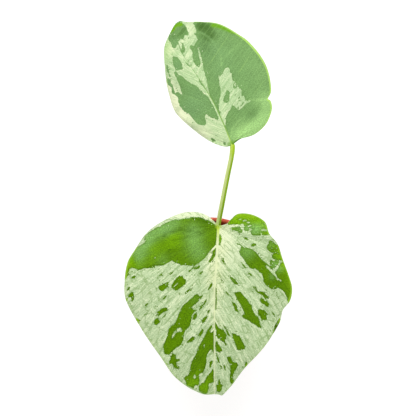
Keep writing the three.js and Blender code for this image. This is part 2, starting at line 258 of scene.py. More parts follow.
def without_flat(faces: Array) -> list[Array]:
    """Sorts four-sided faces into whole ones and those that shrink to a triangle.

    Args:
        faces: four point numbers a face, where neighbours may be equal.

    Returns:
        The whole faces, and the triangles left of the others.
    """
    following = np.roll(faces, -1, axis=1)
    same = faces == following
    whole = faces[~same.any(axis=1)]
    pinched = faces[same.sum(axis=1) == 1]
    kept = ~same[same.sum(axis=1) == 1]
    return [whole, pinched[kept].reshape(-1, 3)]


def joined(surfaces: Sequence[Surface]) -> Surface:
    """Lays several surfaces side by side in one.

    Args:
        surfaces: surfaces that carry the same notes.

    Returns:
        One surface with the points and faces of all.
    """
    starts = np.cumsum([0] + [len(surface.points) for surface in surfaces[:-1]])
    return Surface(
        np.concatenate([surface.points for surface in surfaces]),
        [group + start for surface, start in zip(surfaces, starts) for group in surface.faces],
        {
            note: np.concatenate([surface.notes[note] for surface in surfaces])
            for note in surfaces[0].notes
        },
    )


def turned(profile: Array, segments: int) -> Surface:
    """Turns a profile about the vertical axis: each point goes round at its own radius, and a
    point on the axis becomes one pole.

    Args:
        profile: radius and height a point, from the lower pole round the outside to the other.
        segments: how many steps go round.

    Returns:
        The closed surface, facing outwards.
    """
    angle = ring_angles(segments)
    radius, height = profile[:, :1], profile[:, 1:]
    grid = np.stack(
        [radius * np.cos(angle), radius * np.sin(angle), height + 0 * angle], axis=-1
    )
    numbers = np.arange(grid.shape[0] * segments).reshape(-1, segments)
    pole = profile[:, 0] == 0
    numbers[pole] = numbers[pole, :1]
    ringed = np.hstack([numbers, numbers[:, :1]])
    return compact(Surface(grid.reshape(-1, 3), without_flat(quads(ringed))))


def compact(surface: Surface) -> Surface:
    """Leaves out the points of a surface that no face uses."""
    used = np.unique(np.concatenate([group.ravel() for group in surface.faces]))
    order = np.zeros(len(surface.points), int)
    order[used] = np.arange(len(used))
    notes = {note: values[used] for note, values in surface.notes.items()}
    return Surface(surface.points[used], [order[group] for group in surface.faces], notes)


def normals_of(points: Array, faces: Array) -> Array:
    """The direction that a surface faces at each point: the sum of the cross products of the
    diagonals of the faces round it, at length 1.

    Args:
        points: the surface's points.
        faces: four point numbers a face.

    Returns:
        One direction a point.
    """
    diagonals = points[faces[:, 2:]] - points[faces[:, :2]]
    across = np.cross(diagonals[:, 0], diagonals[:, 1])
    total = np.zeros_like(points)
    for corner in faces.T:
        np.add.at(total, corner, across)
    return unit(total)


def rounded(profile: Sequence[Flat], radius: float, steps: int = 5) -> Array:
    """Rounds a profile's corners: each corner becomes the curve from a point before it to a
    point after it that bends towards it. Long stretches get points of their own, so that the
    shading stays flat on them.

    Args:
        profile: the corners, the two ends among them.
        radius: how far before and after its corner a curve starts and ends.
        steps: points to a curve.

    Returns:
        The profile's points.
    """
    widest, support, stretch = 0.45, 0.3, 4.0
    corners = np.array(profile, float)
    legs = np.linalg.norm(np.diff(corners, axis=0), axis=1)
    room = np.minimum(radius, widest * np.minimum(legs[:-1], legs[1:]))[:, None]
    middle = corners[1:-1]
    start = middle + unit(corners[:-2] - middle) * room
    end = middle + unit(corners[2:] - middle) * room
    share = np.linspace(0, 1, steps)[None, :, None]
    curves = (
        (1 - share) ** 2 * start[:, None]
        + 2 * share * (1 - share) * middle[:, None]
        + share**2 * end[:, None]
    )
    chain = np.vstack([corners[:1], curves.reshape(-1, 2), corners[-1:]])
    placed = [chain[:1]]
    for first, second in zip(chain[:-1], chain[1:]):
        length = float(np.linalg.norm(second - first))
        if length > 3 * support:
            inner = np.linspace(support, length - support, max(2, round(length / stretch)))
            placed.append(first + (second - first) * (inner / length)[:, None])
        placed.append(second[None])
    return np.concatenate(placed)


def bar(
    route: Array, radius: Array, sides: int, across: Point, bumps: Array | None = None
) -> Surface:
    """A round bar: at each point of a route stands a ring across it, and each end is closed by
    a pole. Ring points lie at radius * (cos a * side + sin a * other side).

    Args:
        route: the points of the middle line.
        radius: the ring's radius at each of them.
        sides: points to a ring.
        across: a direction that the route never runs along, from which angles count.
        bumps: what is added to the radius at each point of each ring.

    Returns:
        The closed surface. Its note "skin" holds the share along it, the angle's cosine and
        sine.
    """
    along = unit(np.gradient(route, axis=0))
    reference = np.array(across, float)
    side = unit(reference - (along @ reference)[:, None] * along)
    other = np.cross(along, side)
    angle, count = ring_angles(sides), len(route)
    reach = radius[:, None] + (0 if bumps is None else bumps)
    cosine, sine = np.cos(angle)[:, None], np.sin(angle)[:, None]
    spokes = cosine * side[:, None] + sine * other[:, None]
    rings = route[:, None] + reach[..., None] * spokes
    numbers = np.arange(count * sides).reshape(count, sides)
    ringed = np.hstack([numbers, numbers[:, :1]])
    foot, head = count * sides, count * sides + 1
    first, last = ringed[0], ringed[-1]
    caps = [
        np.stack([np.full(sides, foot), first[1:], first[:-1]], axis=1),
        np.stack([np.full(sides, head), last[:-1], last[1:]], axis=1),
    ]
    share = np.linspace(0, 1, count)[:, None] + 0 * angle
    skin = np.stack([share, np.cos(angle) + 0 * share, np.sin(angle) + 0 * share], axis=-1)
    ends = np.array([[0, 0, 0], [1, 0, 0]], float)
    return Surface(
        np.vstack([rings.reshape(-1, 3), route[:1], route[-1:]]),
        [quads(ringed), *caps],
        {"skin": np.vstack([skin.reshape(-1, 3), ends])},
    )


def pebbles(centres: Array, sizes: Array, seed: int, jag: float) -> Surface:
    """Many small angular grains: a twelve-cornered ball for each, whose corners are drawn in or
    out at random, stretched on its own three axes and turned at random.

    Args:
        centres: the middle of each grain.
        sizes: half the size of each grain on its three axes.
        seed: chooses shapes and turns.
        jag: how far a corner may move, as a share of the grain.

    Returns:
        All the grains as one surface. Its note "grain" holds three random numbers a grain.
    """
    golden, side, signs = (1 + math.sqrt(5)) / 2, 1.1, (-1, 1)
    ball = unit(np.array([
        np.roll((0, a, b * golden), -turn) for turn in range(3) for a in signs for b in signs
    ]))
    corners = len(ball)
    near = np.linalg.norm(ball[:, None] - ball[None], axis=-1) < side
    threes = combinations(range(corners), 3)
    faces = np.array([(a, b, c) for a, b, c in threes if near[a, b] and near[b, c] and near[a, c]])
    first, second, third = (ball[faces[:, place]] for place in range(3))
    inward = (np.cross(second - first, third - first) * first).sum(axis=1) < 0
    faces[inward] = faces[inward][:, ::-1]
    dice = np.random.default_rng(seed)
    count = len(centres)
    shapes = ball[None] * dice.uniform(1 - jag, 1 + jag, (count, corners, 1)) * sizes[:, None]
    turns = np.linalg.qr(dice.normal(size=(count, 3, 3)))[0]
    turns[np.linalg.det(turns) < 0, :, 0] *= -1
    points = np.einsum("nij,nkj->nki", turns, shapes) + centres[:, None]
    numbers = faces[None] + corners * np.arange(count)[:, None, None]
    tints = np.repeat(dice.random((count, 3)), corners, axis=0)
    return Surface(points.reshape(-1, 3), [numbers.reshape(-1, 3)], {"grain": tints})


# Shader maths


def operator(operation: str, turned_round: bool = False) -> Callable[..., "Wire"]:
    """Makes one of a wire's operators.

    Args:
        operation: the Math node's operation.
        turned_round: whether the other value stands first.

    Returns:
        The operator.
    """

    def method(wire: "Wire", other: "Wire | float") -> "Wire":
        """Adds the Math node."""
        values = (other, wire) if turned_round else (wire, other)
        return wire.board.sum(operation, *values)

    return method


class Wire:
    """A number that varies over a surface: an output socket with Python's arithmetic on it."""

    __add__, __radd__ = operator("ADD"), operator("ADD", True)
    __sub__, __rsub__ = operator("SUBTRACT"), operator("SUBTRACT", True)
    __mul__, __rmul__ = operator("MULTIPLY"), operator("MULTIPLY", True)
    __truediv__, __rtruediv__ = operator("DIVIDE"), operator("DIVIDE", True)

    def __init__(self, board: "Board", socket: bpy.types.NodeSocket) -> None:
        """Keeps the socket and the board that new nodes go on."""
        self.board = board
        self.socket = socket

    def most(self, other: "Wire | float") -> "Wire":
        """The larger of two values."""
        return self.board.sum("MAXIMUM", self, other)

    def nearest(self) -> "Wire":
        """Distance to the nearest whole number, from 0 to 0.5."""
        return self.board.sum("PINGPONG", self, 0.5)

    def eased(self, low: float, high: float) -> "Wire":
        """0 at low and 1 at high, with soft ends. A high below low turns it over."""
        flipped = high < low
        limits = {"From Min": min(low, high), "From Max": max(low, high)}
        goals = {"To Min": float(flipped), "To Max": float(not flipped)}
        made = self.board.node(
            "ShaderNodeMapRange",
            {"interpolation_type": "SMOOTHSTEP"},
            {"Value": self, **limits, **goals},
        )
        return Wire(self.board, made.outputs[0])


class Board:
    """A node tree, and the ways to put nodes on it."""

    def __init__(self, tree: bpy.types.NodeTree) -> None:
        """Starts with an empty tree."""
        self.tree = tree
        tree.nodes.clear()

    def node(
        self,
        kind: str,
        settings: dict[str, Any] | None = None,
        inputs: dict[str | int, Any] | None = None,
    ) -> bpy.types.Node:
        """Makes any node.

        Args:
            kind: the node's type.
            settings: its settings, set first.
            inputs: values or links of its sockets, by name or number.

        Returns:
            The new node.
        """
        made = self.tree.nodes.new(kind)
        for name, value in (settings or {}).items():
            setattr(made, name, value)
        for name, value in (inputs or {}).items():
            socket = made.inputs[name]
            source = value.socket if isinstance(value, Wire) else value
            if isinstance(source, bpy.types.NodeSocket):
                self.tree.links.new(source, socket)
            elif isinstance(source, tuple) and socket.type == "RGBA":
                socket.default_value = (*source, 1.0)[:4]
            else:
                socket.default_value = source
        return made

    def sum(self, operation: str, *values: Wire | float) -> Wire:
        """A Math node on wires and numbers."""
        inputs = dict(enumerate(values))
        made = self.node("ShaderNodeMath", {"operation": operation}, inputs)
        return Wire(self, made.outputs[0])

    def note(self, name: str) -> list[Wire]:
        """The three numbers that each point of the mesh carries under a name."""
        made = self.node("ShaderNodeAttribute", {"attribute_name": name})
        return self.split(made.outputs["Vector"])

    def split(self, where: Any) -> list[Wire]:
        """The three numbers of a position."""
        made = self.node("ShaderNodeSeparateXYZ", inputs={0: where})
        return [Wire(self, socket) for socket in made.outputs]

    def place(self, x: Wire | float, y: Wire | float, z: Wire | float = 0.0) -> Any:
        """A position made of three numbers."""
        return self.node("ShaderNodeCombineXYZ", inputs={0: x, 1: y, 2: z}).outputs[0]

    def spot(self) -> Any:
        """The position on the object, in millimetres."""
        return self.shade(self.node("ShaderNodeTexCoord").outputs["Object"], 1 / MM)

    def noise(self, where: Any, size: float, detail: float = 2.0, rough: float = 0.5) -> Wire:
        """Noise from 0 to 1: clouds of a size, with finer layers (detail) of a strength."""
        inputs = {"Vector": where, "Scale": 1 / size, "Detail": detail, "Roughness": rough}
        return Wire(self, self.node("ShaderNodeTexNoise", inputs=inputs).outputs[0])

    def cells(self, where: Any, size: float, feature: str = "F1") -> Wire:
        """Distance to the nearest of scattered seeds, or to the edge between their cells."""
        inputs = {"Vector": where, "Scale": 1 / size}
        made = self.node("ShaderNodeTexVoronoi", {"feature": feature}, inputs)
        return Wire(self, made.outputs["Distance"])

    def blend(self, first: Any, second: Any, share: Wire | float) -> Any:
        """Mixes two colours: all of the first at share 0 and all of the second at share 1."""
        colours = {0: share, 6: first, 7: second}
        return self.node("ShaderNodeMix", {"data_type": "RGBA"}, colours).outputs[2]

    def shade(self, colour: Any, strength: Wire | float) -> Any:
        """Multiplies a colour or a position by a number."""
        inputs = {"Vector": colour, "Scale": strength}
        return self.node("ShaderNodeVectorMath", {"operation": "SCALE"}, inputs).outputs[0]

    def bumps(self, height: Wire, depth: float) -> Any:
        """Turns a height from 0 to 1 into small relief of a depth in millimetres."""
        made = self.node("ShaderNodeBump", inputs={"Height": height, "Distance": depth * MM})
        return made.outputs[0]

    def finish(self, **inputs: Any) -> None:
        """Adds the surface shader and the output. Underlines in names stand for spaces."""
        named = {name.replace("_", " "): value for name, value in inputs.items()}
        shader = self.node("ShaderNodeBsdfPrincipled", inputs=named)
        self.node("ShaderNodeOutputMaterial", inputs={"Surface": shader.outputs[0]})


class Finish:
    """What a finish has in common: it paints its nodes on the board of a new material."""

    def paint(self, board: Board) -> None:
        """Puts the finish's nodes on a board."""
        raise NotImplementedError

    def material(self, name: str) -> bpy.types.Material:
        """Makes the finish's material under a name."""
        made = bpy.data.materials.new(name)
        made.use_nodes = True
        self.paint(Board(made.node_tree))
        return made


@dataclass(frozen=True)
class BladeFinish(Finish):
    """A variegated blade. A point is green where its distance into a patch, made ragged along
    the veins, is above nothing. The pale ground runs from cream at the midrib to mint, flecked
    with mist and white, and thin darker veins cross it. Patches are darkest along their edges,
    and the midrib is young and lime at the stalk. The tone mark shifts green towards lime, partly
    its own lime veins and partly painted light on lit bands, or towards dark, painted shade in
    folds and hollows. The sheen mark greys green with a painted sheen and whitens pale with a
    painted highlight; below nothing it gives the fresh colour of an edge. The green is also
    painted lighter and darker in streaks and flecks, as painted shade and glints of its veins."""

    cream: Colour = (0.80, 0.87, 0.50)
    mint: Colour = (0.53, 0.69, 0.38)
    mist: Colour = (0.33, 0.46, 0.20)
    white: Colour = (0.88, 0.95, 0.64)
    green: Colour = (0.108, 0.246, 0.0005)
    # Painted shade in folds, as well as the darker edges of patches.
    dark: Colour = (0.045, 0.125, 0.001)
    # Lit bands as painted light, as well as lime veins.
    lime: Colour = (0.19, 0.42, 0.002)
    # Painted sheen: the grey-green of a reflection of the light overhead.
    sheen_colour: Colour = (0.25, 0.50, 0.13)
    thread: Colour = (0.20, 0.36, 0.09)
    young: Colour = (0.58, 0.74, 0.12)
    midrib: Colour = (0.80, 0.87, 0.52)
    rim: Colour = (0.30, 0.54, 0.03)
    # On the margins partly a painted highlight.
    edge: Colour = (0.40, 0.58, 0.02)
    below_pale: Colour = (0.55, 0.66, 0.40)
    below_green: Colour = (0.13, 0.26, 0.055)
    roughness: float = 0.45
    gleam: float = 0.05
    ragged: float = 2.0
    flecked: float = 0.85
    darkened: float = 0.35
    streaked: float = 0.6
    fresh_reach: tuple[float, float] = (12, 1)
    rim_from: float = 0.955
    cream_reach: tuple[float, float] = (2, 18)
    midrib_width: float = 1.3
    midrib_fade: float = 0.35
    vein_pitch: int = 42
    ribs: int = 7
    grain_stretch: Point = (150, 6, 0.03)
    band_stretch: Flat = (90, 4)
    fine_size: float = 0.9
    cloud_size: float = 9
    net_size: float = 7.5
    dot_size: float = 1.7
    speck_size: float = 2.3
    midrib_length: float = 130
    relief: float = 0.3

    def paint(self, board: Board) -> None:
        """Puts the finish's nodes on a board."""
        vein, column, below = board.note("flow")
        u, v, from_midrib = board.note("pressed")
        patch, tone, sheen_and_highlight = board.note("marks")
        flat = board.place(u, v)
        along_veins, across_veins, lengthwise = self.grain_stretch
        grain = board.place(vein * along_veins, column * across_veins, u * lengthwise)
        brushed = board.noise(grain, 1.3, 4, 0.65)
        fine = board.noise(flat, self.fine_size, 3, 0.7)
        cloudy = board.noise(flat, self.cloud_size, 2)

        # Where the blade is green
        torn = (board.noise(grain, 1.5, 5, 0.75) - 0.5) * (2 * self.ragged) + (fine - 0.5) * 1.4
        dots = board.cells(flat, self.dot_size).eased(0.3, 0.2)
        dots = dots * board.noise(flat, 5, 1).eased(0.54, 0.6)
        specks = board.cells(flat, self.speck_size).eased(0.2, 0.13)
        specks = specks * board.noise(flat, 7, 1).eased(0.5, 0.56)
        green = (patch + 0.25 + torn + dots * 3.5 - specks * 3).eased(-0.1, 0.1)

        # The pale ground
        outward = (from_midrib + (cloudy - 0.5) * 14 + v * 0.12).eased(*self.cream_reach)
        pale = board.blend(self.cream, self.mint, outward)
        far, near = self.band_stretch
        bands = board.noise(board.place(vein * far, column * near), 1.2, 2, 0.6)
        flecks = brushed * 0.45 + fine * 0.55
        pale = board.blend(pale, self.mist, flecks.eased(0.5, 0.6) * self.flecked)
        pale = board.blend(pale, self.white, flecks.eased(0.49, 0.4) * self.flecked)
        inner = self.flecked * (1 - outward * 0.75)
        pale = board.blend(pale, self.white, bands.eased(0.5, 0.62) * inner * 0.9)
        pale = board.blend(pale, self.mist, bands.eased(0.46, 0.34) * inner * 0.5)
        # Painted highlight: the pale whitens where the sheen mark is raised.
        pale = board.blend(pale, self.white, sheen_and_highlight.eased(0, 1) * 0.8)
        pale = board.blend(pale, self.rim, tone.eased(0, 1))
        net = board.cells(flat, self.net_size, "DISTANCE_TO_EDGE").eased(0.07, 0.02)
        lines = (vein * self.vein_pitch + (cloudy - 0.5) * 0.5).nearest().eased(0.16, 0.04)
        thin = net.most(lines) * board.noise(flat, 6, 2).eased(0.42, 0.58)
        pale = board.blend(pale, self.thread, thin * self.flecked * 0.6)

        # The green patches
        # Painted sheen greys the green; lime is partly painted light, dark partly painted shade in
        # folds.
        leafy = board.blend(self.green, self.sheen_colour, sheen_and_highlight.eased(0, 1))
        leafy = board.blend(leafy, self.lime, tone.eased(0, 1))
        leafy = board.blend(leafy, self.dark, tone.eased(0, -1))
        leafy = board.blend(leafy, self.dark, patch.eased(1.5, 0) * self.darkened)
        # Painted shade and light of the wrinkles along the veins, with painted glints in the fine
        # flecks.
        painted_relief_shade = (brushed - 0.5) * self.streaked + (cloudy - 0.5) * 0.3
        painted_relief_shade = painted_relief_shade + (fine - 0.5) * (1.4 + self.streaked * 2.5)
        leafy = board.shade(leafy, 1 + painted_relief_shade)
        # Below nothing the sheen mark gives the fresh edge colour, free of painted sheen; on the
        # large blade's margins this is partly a painted highlight.
        leafy = board.blend(leafy, self.edge, sheen_and_highlight.eased(0, -1))
        leafy = board.blend(leafy, self.lime, lines * 0.12)
        rib = (vein * self.ribs).nearest().eased(0.02, 0.005) * column.eased(1.0, 0.6)
        rib = rib * patch.eased(4, 8) * (cloudy - 0.2)
        leafy = board.blend(leafy, self.rim, rib * 0.5)

        # Midrib, joint, rim and underside
        upper = board.blend(pale, leafy, green)
        along = v.eased(0, self.midrib_length)
        width = self.midrib_width * (1 - along * 0.5)
        middle = (from_midrib / width).eased(1.1, 0.5) * (1 - along * self.midrib_fade)
        upper = board.blend(upper, board.blend(self.young, self.midrib, v.eased(0, 16)), middle)
        start = (u * u + v * v).eased(*self.fresh_reach) * 0.7
        upper = board.blend(upper, self.edge, start)
        # The margin line: the leaf's own lime edge, and a painted highlight where the margin
        # curls; painted shade fades it.
        rim = column.eased(self.rim_from, self.rim_from + 0.025)
        rim = rim * (0.1 + green * 0.8) * tone.eased(-1, -0.2)
        upper = board.blend(upper, self.rim, rim)
        under = board.blend(self.below_pale, self.below_green, green)
        under = board.shade(board.blend(under, self.edge, start), 0.9 + brushed * 0.2)
        relief = brushed * 0.5 + fine * 0.35 + cloudy * 0.8 - lines * 0.15
        board.finish(
            Base_Color=board.blend(upper, under, below),
            Roughness=self.roughness + (brushed - 0.5) * 0.1 + below * 0.16,
            Specular_IOR_Level=self.gleam,
            Normal=board.bumps(relief, self.relief),
        )


LARGE_FINISH = BladeFinish()
SMALL_FINISH = BladeFinish(
    cream=(0.50, 0.68, 0.35),
    mint=(0.42, 0.60, 0.30),
    mist=(0.27, 0.45, 0.16),
    white=(0.93, 0.96, 0.64),
    # A grey-green with a painted sheen all over, from the light overhead.
    green=(0.176, 0.336, 0.105),
    sheen_colour=(0.19, 0.36, 0.13),
    thread=(0.19, 0.35, 0.13),
    lime=(0.38, 0.65, 0.22),
    dark=(0.065, 0.155, 0.025),
    young=(0.50, 0.72, 0.18),
    midrib=(0.22, 0.42, 0.08),
    rim=(0.42, 0.69, 0.14),
    edge=(0.15, 0.37, 0.01),
    ragged=0.7,
    flecked=0.45,
    darkened=0.12,
    streaked=0.2,
    fresh_reach=(20, 3),
    rim_from=0.945,
    cream_reach=(4, 30),
    midrib_width=0.7,
    midrib_fade=1.7,
)


@dataclass(frozen=True)
class StalkFinish(Finish):
    """A stalk that is pale on its left and green on its right, streaked along its length."""

    pale: Colour = (0.70, 0.82, 0.30)
    green: Colour = (0.31, 0.51, 0.003)
    knee: Colour = (0.46, 0.66, 0.03)
    gleam: float = 0.08
    length: float = 60.0
    relief: float = 0.06

    def paint(self, board: Board) -> None:
        """Puts the finish's nodes on a board."""
        share, side, front = board.note("skin")
        around = board.place(share * self.length * 0.12, side * 2, front * 2)
        streaks = board.noise(around, 0.5, 3, 0.6)
        split = (side * 0.9 + front * 0.1 + (streaks - 0.5) * 0.5).eased(-0.3, 0.2)
        skin = board.blend(self.pale, self.green, split)
        skin = board.blend(skin, self.knee, share.eased(0.85, 0.95) * 0.75)
        skin = board.shade(skin, 0.9 + streaks * 0.2)
        board.finish(
            Base_Color=skin,
            Roughness=0.4 + (streaks - 0.5) * 0.1,
            Specular_IOR_Level=self.gleam,
            Normal=board.bumps(streaks, self.relief),
        )


@dataclass(frozen=True)
class StemFinish(Finish):
    """A green stem that turns corky towards its foot."""

    green: Colour = (0.22, 0.33, 0.07)
    cork: Colour = (0.19, 0.13, 0.07)
    foot: float = 70.0
    head: float = 96.0
    relief: float = 0.12

    def paint(self, board: Board) -> None:
        """Puts the finish's nodes on a board."""
        spot = board.spot()
        cloudy = board.noise(spot, 5, 4, 0.6)
        height = board.split(spot)[2]
        young = (height + (cloudy - 0.5) * 14).eased(self.foot, self.head)
        skin = board.blend(self.cork, self.green, young)
        fine = board.noise(spot, 0.8, 3, 0.6)
        skin = board.shade(skin, 0.75 + fine * 0.5)
        board.finish(
            Base_Color=skin,
            Roughness=0.72 - young * 0.25,
            Normal=board.bumps(fine, self.relief),
        )


@dataclass(frozen=True)
class SoilFinish(Finish):
    """Damp potting soil: dark, with browner crumbs and fine grit."""

    dark: Colour = (0.018, 0.011, 0.008)
    brown: Colour = (0.075, 0.042, 0.024)
    crumb_size: float = 2.6
    grit_size: float = 0.9
    relief: float = 0.6

    def paint(self, board: Board) -> None:
        """Puts the finish's nodes on a board."""
        spot = board.spot()
        crumbs = board.noise(spot, self.crumb_size, 5, 0.7)
        grit = board.cells(spot, self.grit_size)
        skin = board.blend(self.dark, self.brown, crumbs.eased(0.35, 0.75))
        skin = board.shade(skin, 0.6 + grit * 0.9)
        board.finish(
            Base_Color=skin,
            Roughness=0.95 - crumbs * 0.2,
            Normal=board.bumps(crumbs * 0.6 + grit * 0.4, self.relief),
        )


@dataclass(frozen=True)
class GrainFinish(Finish):
    """Loose grains, each in its own shade between two colours, with a rough skin."""

    dark: Colour
    light: Colour
    fibre: float = 1.0
    relief: float = 0.15

    def paint(self, board: Board) -> None:
        """Puts the finish's nodes on a board."""
        shade, second, _ = board.note("grain")
        fine = board.noise(board.spot(), 0.5 * self.fibre, 3, 0.7)
        skin = board.blend(self.dark, self.light, shade)
        skin = board.shade(skin, 0.7 + fine * 0.6)
        board.finish(
            Base_Color=skin,
            Roughness=0.85 + second * 0.1,
            Normal=board.bumps(fine, self.relief),
        )


@dataclass(frozen=True)
class PotFinish(Finish):
    """Satin terracotta plastic, with faint flow marks, fine grain and dust towards its foot, and
    painted shade, darker and browner, inside its collar."""

    body: Colour = (0.93, 0.13, 0.065)
    faded: Colour = (0.95, 0.18, 0.10)
    painted_collar_shade: Colour = (0.44, 0.05, 0.015)
    dust: Colour = (0.42, 0.28, 0.2)
    dust_height: float = 20
    inner_radius: float = 45.3
    lip_height: float = 84
    cloud_size: float = 26
    pit_size: float = 0.7
    relief: float = 0.03

    def paint(self, board: Board) -> None:
        """Puts the finish's nodes on a board."""
        spot = board.spot()
        x, y, height = board.split(spot)
        clouds = board.noise(spot, self.cloud_size, 3, 0.6)
        skin = board.blend(self.body, self.faded, clouds.eased(0.35, 0.7))
        fine = board.noise(spot, 1.2, 4, 0.7)
        worn = (fine * 0.6 + clouds * 0.4).eased(0.52, 0.66)
        low = height.eased(self.dust_height, 0)
        skin = board.blend(skin, self.dust, worn * (0.04 + low * 0.4))
        # Painted shade on the inner wall under the lip, darker and browner.
        square, soft = self.inner_radius**2, 18
        inside = (x * x + y * y).eased(square + soft, square - soft)
        depth = height.eased(self.lip_height + 0.5, self.lip_height - 2.5)
        skin = board.blend(skin, self.painted_collar_shade, inside * depth * 0.9)
        pits = board.cells(spot, self.pit_size) * 0.6 + fine * 0.4
        board.finish(
            Base_Color=skin,
            Roughness=0.44 + worn * 0.2 + (fine - 0.5) * 0.08,
            Normal=board.bumps(pits, self.relief),
        )


@dataclass(frozen=True)
class FloorFinish(Finish):
    """A plain pale floor, with a little light of its own so that it stays near white."""

    colour: Colour = (0.35, 0.35, 0.35)
    light: Colour = (1.0, 1.0, 1.0)
    glow: float = 0.8

    def paint(self, board: Board) -> None:
        """Puts the finish's nodes on a board."""
        board.finish(
            Base_Color=self.colour,
            Roughness=0.9,
            Emission_Color=self.light,
            Emission_Strength=self.glow,
        )


# Pieces of the plant


class Slot(Enum):
    """The material slots of the part's record."""

    POT = "pot"
    SOIL = "soil"
    STEM = "stem"
    STALK = "stalk"
    BLADE = "blade"


def linked(name: str, content: bpy.types.ID) -> bpy.types.Object:
    """Makes an object of a mesh, a light or a camera and links it to the scene."""
    made = bpy.data.objects.new(name, content)
    bpy.context.scene.collection.objects.link(made)
    return made


def piece(
    name: str, surface: Surface, finish: bpy.types.Material, slot: Slot, *nodes: str
) -> bpy.types.Object:
    """Makes one piece of the plant at the origin.

    Args:
        name: the piece's name.
        surface: its form.
        finish: its material.
        slot: the record's slot that it belongs to; not used.
        nodes: the parts of the frame that it takes the place of.

    Returns:
        The new object.
    """
    made = linked(name, surface.mesh(name))
    made.data.materials.append(finish)
    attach(made, BODY)
    if nodes:
        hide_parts(*nodes)
    LOG.info("%s: %d points, %d faces", name, len(made.data.vertices), len(made.data.polygons))
    return made


def drilled(made: bpy.types.Object, drills: Surface) -> None:
    """Cuts a surface out of an object, for good.

    Args:
        made: the object.
        drills: the surface.
    """
    cutter = linked("drills", drills.mesh("drills"))
    cut = made.modifiers.new("holes", "BOOLEAN")
    cut.operation = "DIFFERENCE"
    cut.solver = "EXACT"
    cut.object = cutter
    whole = made.data
    seen = made.evaluated_get(bpy.context.evaluated_depsgraph_get())
    cut_mesh = bpy.data.meshes.new_from_object(seen)
    made.modifiers.clear()
    made.data = cut_mesh
    bpy.data.objects.remove(cutter)
    bpy.data.meshes.remove(whole)


# The leaves


@dataclass(frozen=True)
class Tint:
    """A soft round spot on a half leaf that shifts its colour."""

    row: float
    column: float
    reach: float
    amount: float


@dataclass(frozen=True)
class Crease:
    """A fold or band across a half leaf: a chain of (row, column) numbers, as outlines have.
    Its shadow is painted shade along it, and a negative one paints it lighter, towards lime; by
    its glow it takes the leaf's fresh edge colour."""

    chain: tuple[int, ...]
    width: float
    depth: float = 0
    shadow: float = 0
    glow: float = 0


@dataclass(frozen=True)
class Half:
    """One half of a blade: its margin on the pressed leaf, how it bends, and its markings.

    A margin is X and Y in turn. A ruffle is its height, how many waves it has and where they
    start. A roll is its depth and the rows that it lies between. The outlines of markings are
    row and column in turn, in thousandths and hundredths. Row 0 is the notch at the stalk and
    row 1 the tip, column 0 the midrib and column 1 the margin. Green outlines are painted first,
    then pale ones, then islands, which are green again.
    """

    sign: int
    margin: tuple[float, ...]
    lift: float
    bend: float
    lobe_turn: float
    ruffle: tuple[float, float, float]
    roll: tuple[float, float, float]
    leafy: bool = False
    green: tuple[tuple[int, ...], ...] = ()
    pale: tuple[tuple[int, ...], ...] = ()
    islands: tuple[tuple[int, ...], ...] = ()
    # Tone tints are partly the leaf's own lime and dark and partly painted light and shade; sheen
    # tints are painted sheen on green and painted highlight on pale.
    tone: tuple[Tint, ...] = ()
    sheen_and_highlight: tuple[Tint, ...] = ()
    creases: tuple[Crease, ...] = ()


